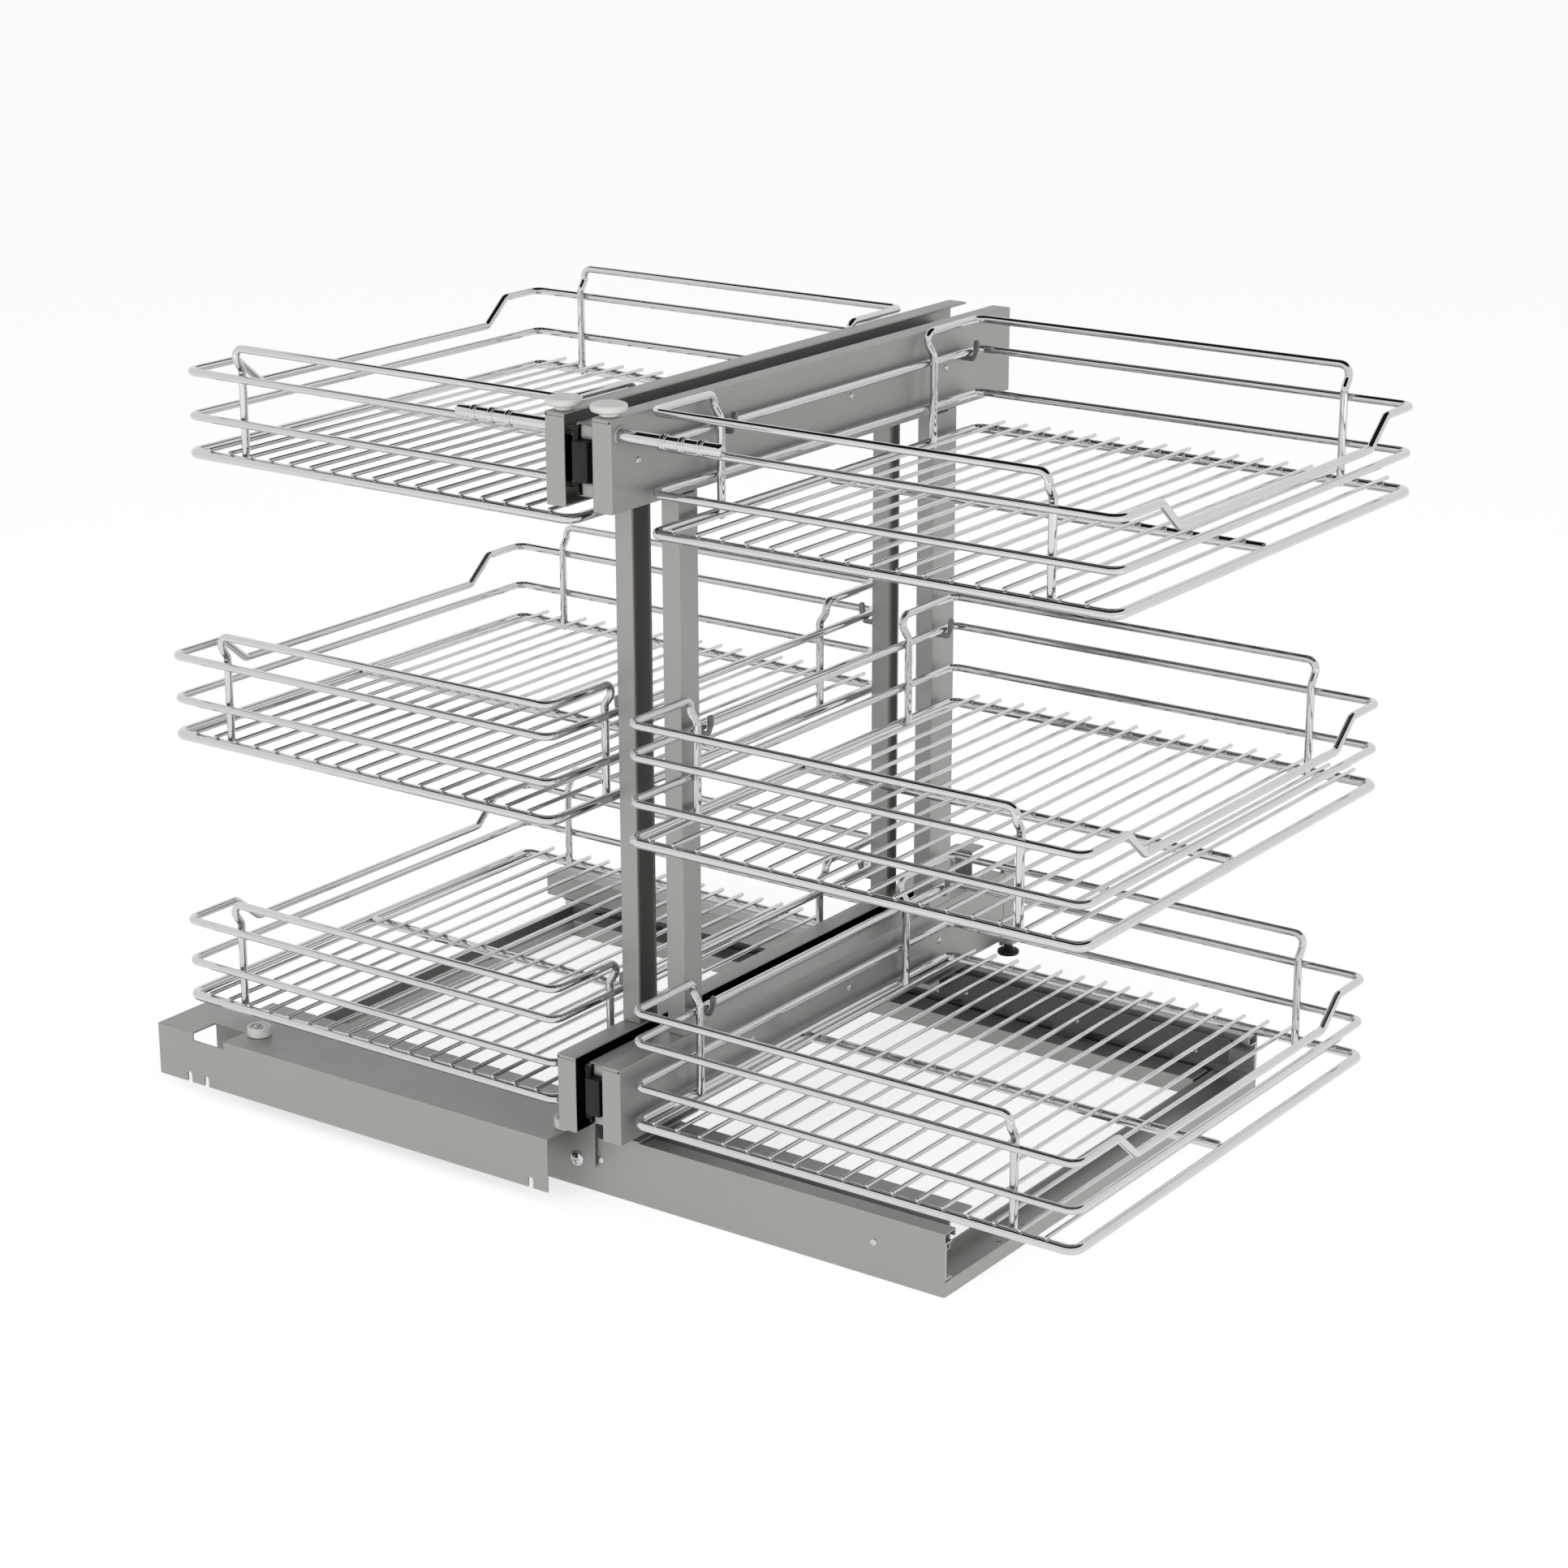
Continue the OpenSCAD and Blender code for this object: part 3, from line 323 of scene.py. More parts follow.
GREY_SHEET = material("grey_sheet", (0.40, 0.39, 0.375), 0.42, metallic=0.55, tone=(5.0, 0.05), gloss=(18.0, 0.06),
                      grain=(900.0, (1, 1, 1), 0.05), dust=0.04)
ZINC = material("zinc", (0.52, 0.52, 0.51), 0.34, metallic=0.9, tone=(30.0, 0.1), gloss=(60.0, 0.1),
                grain=(260.0, (0.1, 1, 1), 0.04))
CHROME = material("chrome", (0.60, 0.60, 0.61), 0.09, metallic=1.0, tone=(14.0, 0.03), gloss=(25.0, 0.04))
SCREW_STEEL = material("screw_steel", (0.60, 0.60, 0.59), 0.3, metallic=1.0, tone=(200.0, 0.08), gloss=(300.0, 0.08))
WHITE_PLASTIC = material("white_plastic", (0.80, 0.80, 0.775), 0.38, tone=(60.0, 0.02), gloss=(40.0, 0.05),
                         grain=(1200.0, (1, 1, 1), 0.02), dust=0.02)
# A darkened copy of the sheet for the back guide wall, which is grey sheet: painted shade.
PAINTED_SHADE_SHEET = material("painted_shade_sheet", (0.10, 0.098, 0.094), 0.45, metallic=0.4, tone=(5.0, 0.08), gloss=(18.0, 0.06),
                      grain=(900.0, (1, 1, 1), 0.05), dust=0.03)
# A darker copy of the grey sheet for the hooks: painted shade from the baskets over them.
HOOK_SHADE_SHEET = material("hook_shade_sheet", (0.24, 0.235, 0.225), 0.36, metallic=0.6, tone=(20.0, 0.06), gloss=(30.0, 0.06),
                      grain=(900.0, (1, 1, 1), 0.03))
SEAM_SHADOW = material("seam_shadow", (0.035, 0.034, 0.033), 0.7, tone=(50.0, 0.1), gloss=(50.0, 0.05))
BLACK_PLASTIC = material("black_plastic", (0.016, 0.016, 0.017), 0.42, tone=(80.0, 0.2), gloss=(60.0, 0.08),
                         grain=(1500.0, (1, 1, 1), 0.03), dust=0.01, specular=0.25)


# Making pieces.
def linked(name, data):
    """A new object in the scene."""
    made = bpy.data.objects.new(name, data)
    bpy.context.scene.collection.objects.link(made)
    return made


def as_mesh(name, shape):
    """A new mesh of a bmesh, which is freed."""
    mesh = bpy.data.meshes.new(name)
    shape.to_mesh(mesh)
    shape.free()
    return mesh


def piece(name, mesh, finish, body, nodes=()):
    """An object for the mesh, with its finish, riding on a body and standing for CAD nodes."""
    made = linked(name, mesh)
    made.data.materials.clear()
    made.data.materials.append(finish)
    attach(made, body)
    if nodes:
        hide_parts(*nodes)
    return made


def rounded_path(corners, radii, closed=False, steps=6):
    """Points of a centre line through the corners, with each corner bent to its radius."""
    points = []
    count = len(corners)
    for index, corner in enumerate(corners):
        if not closed and index in (0, count - 1):
            points.append(corner)
            continue
        back = (corners[index - 1] - corner).normalized()
        ahead = (corners[(index + 1) % count] - corner).normalized()
        half = back.angle(ahead) / 2
        reach = radii[index] / math.tan(half)
        centre = corner + (back + ahead).normalized() * (radii[index] / math.sin(half))
        first = corner + back * reach - centre
        last = corner + ahead * reach - centre
        turn = math.pi - 2 * half
        for step in range(steps + 1):
            share = step / steps
            weight = (math.sin((1 - share) * turn) * first + math.sin(share * turn) * last) / math.sin(turn)
            points.append(centre + weight)
    return points


def with_round_ends(points, radius):
    """(point, share of the radius) along a wire whose two ends are melted round."""
    rings = 4

    def end(tip, inner):
        inward = (inner - tip).normalized()
        return [(tip + inward * radius * (1 - math.cos(turn)), max(math.sin(turn), 0.02))
                for turn in [math.pi / 2 * ring / rings for ring in range(rings)]]

    head = end(points[0], points[1])
    tail = end(points[-1], points[-2])
    inward = [(points[0] + (points[1] - points[0]).normalized() * radius, 1.0)]
    outward = [(points[-1] + (points[-2] - points[-1]).normalized() * radius, 1.0)]
    return head + inward + [(point, 1.0) for point in points[1:-1]] + outward + tail[::-1]


def wire_mesh(name, loops, runs, diameter, sides=6):
    """Mesh of round wires: closed loops, and open runs with round ends."""
    curve = bpy.data.curves.new(name, "CURVE")
    curve.dimensions = "3D"
    curve.bevel_depth = diameter / 2
    curve.bevel_resolution = sides
    curve.use_fill_caps = True
    for closed, wires in ((True, loops), (False, runs)):
        for points in wires:
            shaped = [(point, 1.0) for point in points] if closed else with_round_ends(points, diameter / 2)
            spline = curve.splines.new("POLY")
            spline.points.add(len(shaped) - 1)
            for target, (point, share) in zip(spline.points, shaped):
                target.co = (*point, 1)
                target.radius = share
            spline.use_cyclic_u = closed
    drawn = linked(name, curve)
    mesh = bpy.data.meshes.new_from_object(drawn.evaluated_get(bpy.context.evaluated_depsgraph_get()))
    bpy.data.objects.remove(drawn)
    for face in mesh.polygons:
        face.use_smooth = True
    return mesh


def add_nugget(shape, place, size):
    """A drop of weld metal at a crossing: a small ball pressed to size."""
    made = bmesh.ops.create_icosphere(shape, subdivisions=2, radius=1.0)
    bmesh.ops.scale(shape, vec=size, verts=made["verts"])
    bmesh.ops.translate(shape, vec=place, verts=made["verts"])
    for vert in made["verts"]:
        for face in vert.link_faces:
            face.smooth = True


def in_basket(side, level, x, y, z):
    """A point of a basket, given from its inner front corner, in the frame."""
    return mm(CARRIAGE_X + SIDES[side] * (BASKET_X + x), BASKET_Y[level] + y, BASKET_Z + TIER_PITCH * level + z)


def gallery_corners():
    """Corners of the raised rail round an inner corner with its two legs, and the bend radius at each."""
    step_z = GALLERY_Z - BEND_R - BEND_R * math.tan(LEG_SLANT / 2)
    inside = WIRE_D - WELD
    foot_z = step_z - inside / math.tan(LEG_SLANT)
    corners = [(LEG_X, inside, -WIRE_D / 2), (LEG_X, inside, foot_z), (LEG_X, 0, step_z), (LEG_X, 0, GALLERY_Z),
               (0, 0, GALLERY_Z), (0, LEG_Y, GALLERY_Z), (0, LEG_Y, step_z),
               (inside, LEG_Y, foot_z), (inside, LEG_Y, -WIRE_D / 2)]
    return corners, [0, BEND_R, BEND_R, BEND_R, CORNER_R, BEND_R, BEND_R, BEND_R, 0]


def basket_rim(side, level):
    """The thick wires of a basket: two plain loops, a dipped loop and two raised rails on legs."""
    square = [(0, 0), (BASKET_W, 0), (BASKET_W, BASKET_D), (0, BASKET_D)]
    loops = [([(x, y, MID_WIRE_Z) for x, y in square], [CORNER_R] * 4)]
    lowest = [(x, y, 0) for x, y in square]
    low = TOP_WIRE_Z - DIP_DROP
    ahead = BASKET_D - DIP_BACK
    dipped = [(0, 0, TOP_WIRE_Z), (BASKET_W, 0, TOP_WIRE_Z), (BASKET_W, DIP_FRONT, TOP_WIRE_Z),
              (BASKET_W, DIP_FRONT + DIP_RUN, low), (BASKET_W, ahead - DIP_RUN, low), (BASKET_W, ahead, TOP_WIRE_Z),
              (BASKET_W, BASKET_D, TOP_WIRE_Z), (0, BASKET_D, TOP_WIRE_Z)]
    loops.append((dipped, [CORNER_R, CORNER_R, BEND_R, BEND_R, BEND_R, BEND_R, CORNER_R, CORNER_R]))
    corners, radii = gallery_corners()
    back_corners = [(x, BASKET_D - y, z) for x, y, z in corners]

    def line(places, bends, closed):
        corners = [in_basket(side, level, *place) for place in places]
        return rounded_path(corners, [bend * MM for bend in bends], closed)

    mesh = wire_mesh("rim", [line(places, bends, True) for places, bends in loops],
                     [line(places, radii, False) for places in (corners, back_corners)], WIRE_D * MM)
    shape = bmesh.new()
    shape.from_mesh(mesh)
    shape.from_mesh(wire_mesh("lowest", [line(lowest, [CORNER_R] * 4, True)], [], LOW_WIRE_D * MM))
    drop = mm(*RIM_WELD_DROP)
    for z in (0, MID_WIRE_Z, TOP_WIRE_Z):
        for y in (WIRE_D / 2, BASKET_D - WIRE_D / 2):
            add_nugget(shape, in_basket(side, level, LEG_X, y, z), drop)
        for y in (LEG_Y, BASKET_D - LEG_Y):
            add_nugget(shape, in_basket(side, level, WIRE_D / 2, y, z), drop)
    shape.to_mesh(mesh)
    shape.free()
    name = f"rim_{LEVELS[level]}_{side}"
    return piece(f"{name}_wires", mesh, CHROME, f"frame_{side}", [name])


def basket_floor(side, level):
    """The thin floor wires of a basket on their cross wire."""
    pitch = (BASKET_W - FIRST_WIRE - LAST_WIRE) / (FLOOR_WIRES - 1)
    height = LOW_WIRE_D / 2 + FLOOR_WIRE_D / 2 - WELD
    places = [FIRST_WIRE + pitch * index for index in range(FLOOR_WIRES)]
    thin = wire_mesh("floor", [], [[in_basket(side, level, x, -WIRE_NOSE, height),
                                    in_basket(side, level, x, BASKET_D / 2, height),
                                    in_basket(side, level, x, BASKET_D + WIRE_TAIL, height)] for x in places],
                     FLOOR_WIRE_D * MM, sides=4)
    end = LOW_WIRE_D / 2 - WELD
    thick = wire_mesh("cross", [], [[in_basket(side, level, end, BASKET_D / 2, 0),
                                     in_basket(side, level, BASKET_W / 2, BASKET_D / 2, 0),
                                     in_basket(side, level, BASKET_W - end, BASKET_D / 2, 0)]], LOW_WIRE_D * MM)
    shape = bmesh.new()
    shape.from_mesh(thin)
    shape.from_mesh(thick)
    drop = mm(*FLOOR_WELD_DROP)
    for x in places:
        for y in (0, BASKET_D / 2, BASKET_D):
            add_nugget(shape, in_basket(side, level, x, y, LOW_WIRE_D / 2), drop)
    shape.to_mesh(thin)
    shape.free()
    name = f"floor_{LEVELS[level]}_{side}"
    return piece(f"{name}_wires", thin, CHROME, f"frame_{side}", [name])


def cad_copy(name):
    """A bmesh of a CAD node's mesh with its loose triangles merged and flat faces joined."""
    shape = bmesh.new()
    shape.from_mesh(frame["nodes"][name].data)
    bmesh.ops.remove_doubles(shape, verts=shape.verts, dist=0.004 * MM)
    bmesh.ops.dissolve_limit(shape, angle_limit=math.radians(1), verts=shape.verts, edges=shape.edges)
    return shape


def sharp_edges(shape, shortest):
    """Edges of a solid that turn by more than 35 degrees and are longer than shortest."""
    turn = math.radians(35)
    return [edge for edge in shape.edges
            if len(edge.link_faces) == 2 and edge.calc_length() > shortest and edge.calc_face_angle() > turn]


def reach_from(edge, face):
    """How far a face reaches away from one of its edges."""
    start = edge.verts[0].co
    along = (edge.verts[1].co - start).normalized()
    return max((vert.co - start).cross(along).length for vert in face.verts)


def softened(node, finish, body, bend_r=FOLD_R):
    """The CAD sheet part with its folds rounded and its cut edges broken.

    Known fault: six of these sheets come out with stray triangles.
    """
    shape = cad_copy(node)
    weight = shape.edges.layers.float.new("bevel_weight_edge")
    for edge in sharp_edges(shape, SHORTEST_EDGE * MM):
        fold = min(reach_from(edge, face) for face in edge.link_faces) > FOLD_REACH * MM
        radius = EDGE_R if not fold else bend_r if edge.is_convex else INNER_R
        edge[weight] = radius / bend_r
    mesh = as_mesh(node, shape)
    for face in mesh.polygons:
        face.use_smooth = True
    made = piece(f"{node}_sheet", mesh, finish, body, [node])
    rounds = made.modifiers.new("folds", "BEVEL")
    rounds.limit_method = "WEIGHT"
    rounds.width = bend_r * MM
    rounds.segments = 4
    rounds.use_clamp_overlap = False
    weigh = made.modifiers.new("weigh", "WEIGHTED_NORMAL")
    weigh.keep_sharp = False
    weigh.weight = 60


def shaded(mesh):
    """The mesh with smooth faces and an edge where it turns by more than 38 degrees."""
    for face in mesh.polygons:
        face.use_smooth = True
    mesh.set_sharp_from_angle(angle=math.radians(38))
    return mesh


def aimed(place, toward):
    """Matrix that stands a shape drawn along +Z at a place, along a direction."""
    return Matrix.Translation(place) @ Vector(toward).to_track_quat("Z", "Y").to_matrix().to_4x4()


def rounding(radius, height, size, first, last, steps=4):
    """Profile steps round a corner of a size, from one angle to another."""
    turns = [math.radians(first + (last - first) * step / steps) for step in range(steps + 1)]
    return [(radius + size * math.cos(turn), height + size * math.sin(turn)) for turn in turns]


def turned(profile, place, toward, sides=48):
    """A bmesh spun from (radius, height) steps in mm, which start and end on the axis."""
    shape = bmesh.new()
    verts = [shape.verts.new((radius * MM, 0, height * MM)) for radius, height in profile]
    edges = [shape.edges.new(pair) for pair in zip(verts, verts[1:])]
    bmesh.ops.spin(shape, geom=verts + edges, cent=(0, 0, 0), axis=(0, 0, 1), angle=math.tau, steps=sides,
                   use_merge=True)
    bmesh.ops.remove_doubles(shape, verts=shape.verts, dist=0.002 * MM)
    bmesh.ops.recalc_face_normals(shape, faces=shape.faces)
    bmesh.ops.transform(shape, matrix=aimed(place, toward), verts=shape.verts)
    return shape


def gathered(name, shapes):
    """One mesh of several bmeshes."""
    whole = bmesh.new()
    for shape in shapes:
        part = as_mesh("part", shape)
        whole.from_mesh(part)
        bpy.data.meshes.remove(part)
    return shaded(as_mesh(name, whole))


def block(low, high, radius=0.0):
    """A bmesh box between two corners in mm with its edges rounded."""
    shape = bmesh.new()
    bmesh.ops.create_cube(shape, size=1.0)
    size = [top - bottom for bottom, top in zip(low, high)]
    middle = [(top + bottom) / 2 for bottom, top in zip(low, high)]
    bmesh.ops.scale(shape, vec=mm(*size), verts=shape.verts)
    bmesh.ops.translate(shape, vec=mm(*middle), verts=shape.verts)
    if radius:
        bmesh.ops.bevel(shape, geom=shape.edges[:], offset=radius * MM, segments=3, profile=0.5,
                        affect="EDGES", material=-1)
    return shape


def strip(points, sweep, thick):
    """A bmesh of bent sheet: a path of points drawn out along a sweep and given a thickness in mm."""
    shape = bmesh.new()
    verts = [shape.verts.new(point) for point in points]
    edges = [shape.edges.new(pair) for pair in zip(verts, verts[1:])]
    drawn = bmesh.ops.extrude_edge_only(shape, edges=edges)["geom"]
    bmesh.ops.translate(shape, vec=sweep, verts=[item for item in drawn if isinstance(item, bmesh.types.BMVert)])
    bmesh.ops.recalc_face_normals(shape, faces=shape.faces)
    bmesh.ops.solidify(shape, geom=shape.faces[:], thickness=thick * MM)
    return shape


def cross_recessed(mesh, place, toward, span, wide, deep):
    """The mesh with a cross recess pressed into it."""
    blank = linked("blank", mesh)
    bars = []
    for angle in (20, 110):
        shape = block((-span / 2, -wide / 2, -deep), (span / 2, wide / 2, deep))
        spun = aimed(place, toward) @ Matrix.Rotation(math.radians(angle), 4, "Z")
        bmesh.ops.transform(shape, matrix=spun, verts=shape.verts)
        bar = linked("bar", gathered("bar", [shape]))
        press = blank.modifiers.new("cross", "BOOLEAN")
        press.operation = "DIFFERENCE"
        press.solver = "EXACT"
        press.object = bar
        bars.append(bar)
    pressed = bpy.data.meshes.new_from_object(blank.evaluated_get(bpy.context.evaluated_depsgraph_get()))
    for item in bars + [blank]:
        bpy.data.objects.remove(item)
    return shaded(pressed)


# Small parts.
def base_of(low, high):
    """Middle of the underside of a box."""
    return Vector(((low[0] + high[0]) / 2, (low[1] + high[1]) / 2, low[2]))


def dome(head_size, shank):
    """Profile of a round head on a shank."""
    radius, height = head_size
    shank_r, shank_len = shank
    turns = [math.pi / 2 * step / 7 for step in range(8)]
    head = [(radius * math.sin(turn), height * math.cos(turn)) for turn in turns]
    return head + [(shank_r, 0), (shank_r, -shank_len), (0, -shank_len)]


def handle(side):
    """Chrome pull with three double grip rings, and the pressed collar on the channel."""
    out = (SIDES[side], 0, 0)
    foot = mm(CARRIAGE_X + SIDES[side] * FACE_X, HANDLE_Y, HANDLE_Z)
    profile = [(0, 0.2), (HANDLE_R, 0.2)]
    for ring in RING_PLACES:
        bead = [(HANDLE_R, -2.5), (5.55, -2.3), (5.95, -1.7), (5.9, -1.0), (5.35, -0.35)]
        profile += [(radius, ring + step) for radius, step in bead]
        profile += [(5.1, ring)]
        profile += [(radius, ring - step) for radius, step in reversed(bead)]
    profile += rounding(HANDLE_R - HANDLE_END_R, HANDLE_LEN - HANDLE_END_R, HANDLE_END_R, 0, 90, 7)
    profile += [(0, HANDLE_LEN)]
    piece(f"handle_{side}_rod", gathered("handle", [turned(profile, foot, out)]), CHROME, f"frame_{side}",
          [f"handle_{side}"])
    collar = [(0, 0.1), (7.2, 0.1), (7.0, 0.5), (6.6, 0.95), (6.0, 1.2), (5.3, 1.25), (5.15, 0.9), (0, 0.9)]
    piece(f"handle_{side}_collar", gathered("collar", [turned(collar, foot, out)]), GREY_SHEET, f"frame_{side}")


def rivets(side):
    """Rivet heads along the top channel and, but for the first, along the bottom one."""
    heads = []
    for row, first in ((TOP_MID_Z, 0), (LOW_MID_Z, 1)):
        for index in range(first, RIVETS_IN_ROW):
            y = TOP_FRONT_Y + RIVET_FIRST + RIVET_PITCH * index
            place = mm(CARRIAGE_X + SIDES[side] * FACE_X, y, row)
            heads.append(turned(dome(RIVET_HEAD, RIVET_SHANK), place, (SIDES[side], 0, 0), 32))
    piece(f"rivets_{side}_heads", gathered("rivets", heads), SCREW_STEEL, f"frame_{side}", [f"rivets_{side}"])


def top_roller(side):
    """White guide wheel on a hub, with a small dimple in its crown."""
    low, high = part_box(f"top_roller_{side}")
    hub = [(0, 0), (6.5, 0), (7, 0.4), (7, 2.5)]
    rim = [(8.2, 2.7), (11.6, 3.3), (12.8, 3.9), (13.45, 4.7), (13.7, 5.6), (13.72, 7.0), (13.45, 8.0), (12.9, 8.8),
           (12.0, 9.25), (10.8, 9.4)]
    dimple = [(4.2, 9.4), (2.6, 9.3), (2.2, 8.9), (1.2, 8.8), (0, 8.8)]
    wheel = turned(hub + rim + dimple, base_of(low, high), (0, 0, 1), 64)
    piece(f"top_roller_{side}_wheel", gathered("wheel", [wheel]), WHITE_PLASTIC,
          f"top_roller_{side}", [f"top_roller_{side}"])


def cover_rollers():
    """White rollers on the cover and the screws that hold them."""
    heads = []
    for side in SIDES:
        low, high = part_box(f"cover_roller_{side}")
        middle = base_of(low, high)
        profile = [(0, 0), (9.1, 0)] + rounding(9.1, 0.9, 0.9, -90, 0) + rounding(8.8, 6.8, 1.2, 0, 90)
        profile += [(7.2, 8), (6.8, 7.7), (6.7, 6.3), (0, 6.3)]
        wheel = turned(profile, middle, (0, 0, 1), 64)
        piece(f"cover_roller_{side}_wheel", gathered("wheel", [wheel]), WHITE_PLASTIC,
              f"cover_roller_{side}", [f"cover_roller_{side}"])
        head = [(0, ROLLER_HEAD_TOP), (2.4, 7.85), (4.4, 7.55), (5.6, 7.1), (6.15, 6.6), (6.2, 6.4)]
        shank = [(2.9, 6.4), (2.9, -1.8), (0, -1.8)]
        mesh = gathered("screw", [turned(head + shank, middle, (0, 0, 1))])
        mesh = cross_recessed(mesh, middle + mm(0, 0, ROLLER_HEAD_TOP), (0, 0, 1), 7.0, 1.5, 1.3)
        shape = bmesh.new()
        shape.from_mesh(mesh)
        heads.append(shape)
    piece("roller_screws_heads", gathered("screws", heads), SCREW_STEEL, "carriage", ["roller_screws"])


def dome_screw(name, place, toward, head, body, finish, nodes=()):
    """Pan head screw with a cross recess."""
    radius, height = head
    mesh = gathered("screw", [turned(dome(head, (radius * 0.45, 1.5)), place, toward)])
    top = place + Vector(toward) * height * MM
    mesh = cross_recessed(mesh, top, toward, radius * 1.1, radius * 0.26, height * 0.6)
    piece(name, mesh, finish, body, nodes)


def rail_pins():
    """Heads of the pins along the outside of the front and the back rail."""
    heads = [turned(dome(PIN_HEAD, PIN_SHANK), mm(x, -way * RAIL_Y, PIN_Z), (0, -way, 0), 32)
             for way in (1, -1) for x in PIN_PLACES]
    piece("rail_pins_heads", gathered("pins", heads), SCREW_STEEL, "base", ["rail_pins"])


def foot(side):
    """Black glide under the back plate on its stem."""
    low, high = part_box(f"foot_{side}")
    tall = (high[2] - low[2]) / MM
    profile = [(0, 0), (8.4, 0)] + rounding(8.6, 0.9, 0.9, -90, 0) + rounding(8.3, 2.3, 1.2, 0, 90)
    profile += [(4.6, 3.6), (4.0, 4.2), (4.0, tall - 0.4), (3.6, tall), (0, tall)]
    glide = turned(profile, base_of(low, high), (0, 0, 1))
    piece(f"foot_{side}_glide", gathered("foot", [glide]), BLACK_PLASTIC, f"frame_{side}",
          [f"foot_{side}"])


def hook_plate(side, y, wire_z):
    """A bmesh of one flat hook that comes out of the channel under a wire and stands up outside it.

    The outline is (outward from the centre, up from the wire), and bends holds the radius of each of its corners.
    """
    outline = [(30.2, -8.0), (42.6, -8.0), (46.4, 2.0), (46.4, 9.3), (42.0, 9.3), (41.1, -4.1), (34.6, -4.1),
               (33.0, -1.5), (30.2, -1.5)]
    bends = [0.5, 4.0, 8.0, 1.9, 1.7, 2.6, 1.6, 0.6, 0.5]
    corners = [mm(CARRIAGE_X + SIDES[side] * x, y, wire_z + z) for x, z in outline]
    shape = bmesh.new()
    verts = [shape.verts.new(point) for point in rounded_path(corners, [bend * MM for bend in bends], True, 4)]
    front = shape.faces.new(verts)
    drawn = bmesh.ops.extrude_face_region(shape, geom=[front])["geom"]
    moved = [item for item in drawn if isinstance(item, bmesh.types.BMVert)]
    bmesh.ops.translate(shape, vec=mm(0, HOOK_THICK, 0), verts=moved)
    bmesh.ops.recalc_face_normals(shape, faces=shape.faces)
    rims = [edge for edge in shape.edges if abs(edge.verts[0].co.y - edge.verts[1].co.y) < 0.1 * MM]
    bmesh.ops.bevel(shape, geom=rims, offset=HOOK_EDGE_R * MM, segments=2, profile=0.5, affect="EDGES", material=-1)
    return shape


def hooks(side):
    """The flat hooks under the upper inner wire of each basket."""
    shapes = []
    for level in range(len(LEVELS)):
        wire_z = BASKET_Z + TIER_PITCH * level + TOP_WIRE_Z
        for y in (BASKET_Y[level] + HOOK_FRONT_IN, BASKET_Y[level] + BASKET_D - HOOK_BACK_IN):
            shapes.append(hook_plate(side, y, wire_z))
    # The hooks wear the darkened sheet: painted shade.
    piece(f"hooks_{side}_plates", gathered("hooks", shapes), HOOK_SHADE_SHEET, f"frame_{side}", [f"hooks_{side}"])


def end_caps():
    """Black parts on the beam ends: a rounded cap, a stop block and the bumper under the bottom beam."""
    shapes = []
    for middle, half in BEAMS:
        inner = half - 1.2
        near, far = CAP_NEAR - BEAM_X, CAP_FAR - BEAM_X
        corners = [(far, middle - inner), (near, middle - inner), (near, middle + inner), (far, middle + inner)]
        places = [mm(CARRIAGE_X + x, BEAM_Y - CAP_DEEP, z) for x, z in corners]
        path = rounded_path(places, [0, CAP_BEND_R * MM, CAP_BEND_R * MM, 0])
        shapes.append(strip(path, mm(0, CAP_DEEP, 0), CAP_THICK))
        shapes.append(block((CARRIAGE_X - STOP_X, BEAM_Y - STOP_Y, middle - STOP_HALF),
                            (CARRIAGE_X + STOP_X, BEAM_Y + STOP_Y, middle + STOP_HALF), STOP_EDGE_R))
    low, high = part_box("end_caps")
    tall = LOW_MID_Z - LOW_BEAM_HALF - low[2] / MM
    bumper = [(0, 0), (6.4, 0)] + rounding(BUMPER_R - 1.2, 1.2, 1.2, -90, 0) + [(BUMPER_R, tall), (0, tall)]
    shapes.append(turned(bumper, Vector((CARRIAGE_X * MM, (BEAM_Y + BUMPER_R) * MM, low[2])), (0, 0, 1)))
    piece("end_caps_black", gathered("caps", shapes), BLACK_PLASTIC, "carriage", ["end_caps"])


def beam_noses():
    """Rounded metal ends of the centre beams over and under the black stop blocks."""
    shapes = []
    for middle, half in BEAMS:
        inner, outer = STOP_HALF + NOSE_GAP, half - NOSE_INSET
        for low, high in ((middle + inner, middle + outer), (middle - outer, middle - inner)):
            shapes.append(block((CARRIAGE_X + NOSE_X[0], BEAM_Y + NOSE_Y[0], low),
                                (CARRIAGE_X + NOSE_X[1], BEAM_Y + NOSE_Y[1], high), NOSE_EDGE_R))
    piece("beam_noses", gathered("noses", shapes), GREY_SHEET, "carriage")


def painted_seam_shadows(side):
    """Painted shadow: dark strips in the slits at the folds of the end walls, and where the posts meet the top channel.
    """
    shapes = []

    def shadow_strip(reach, depth, height):
        ends = sorted(CARRIAGE_X + SIDES[side] * x for x in reach)
        shapes.append(block((ends[0], depth[0], height[0]), (ends[1], depth[1], height[1])))

    for front, top in ((TOP_FRONT_Y, TOP_Z), (LOW_FRONT_Y, LOW_CHANNEL_TOP)):
        for first_x, last_x, low_z, high_z in SEAM_LINES:
            shadow_strip((first_x, last_x), (front + SEAM_Y[0], front + SEAM_Y[1]), (top + low_z, top + high_z))
    for depth in POST_SLITS:
        shadow_strip(POST_SLIT_X, depth, POST_SLIT_Z)
    piece(f"painted_seam_shadows_{side}", gathered("seams", shapes), SEAM_SHADOW, f"frame_{side}")


# The object.
SLOT_FINISH = {"grey_sheet": GREY_SHEET, "zinc": ZINC, "chrome": CHROME, "white_plastic": WHITE_PLASTIC,
               "black_plastic": BLACK_PLASTIC}
for subpart in frame["record"]["subparts"]:
    solid = frame["nodes"][subpart["node"]]
    finish = SLOT_FINISH[subpart["material_slot"]]
    if not solid.material_slots:
        solid.data.materials.append(finish)
    for holder in solid.material_slots:
        holder.material = finish

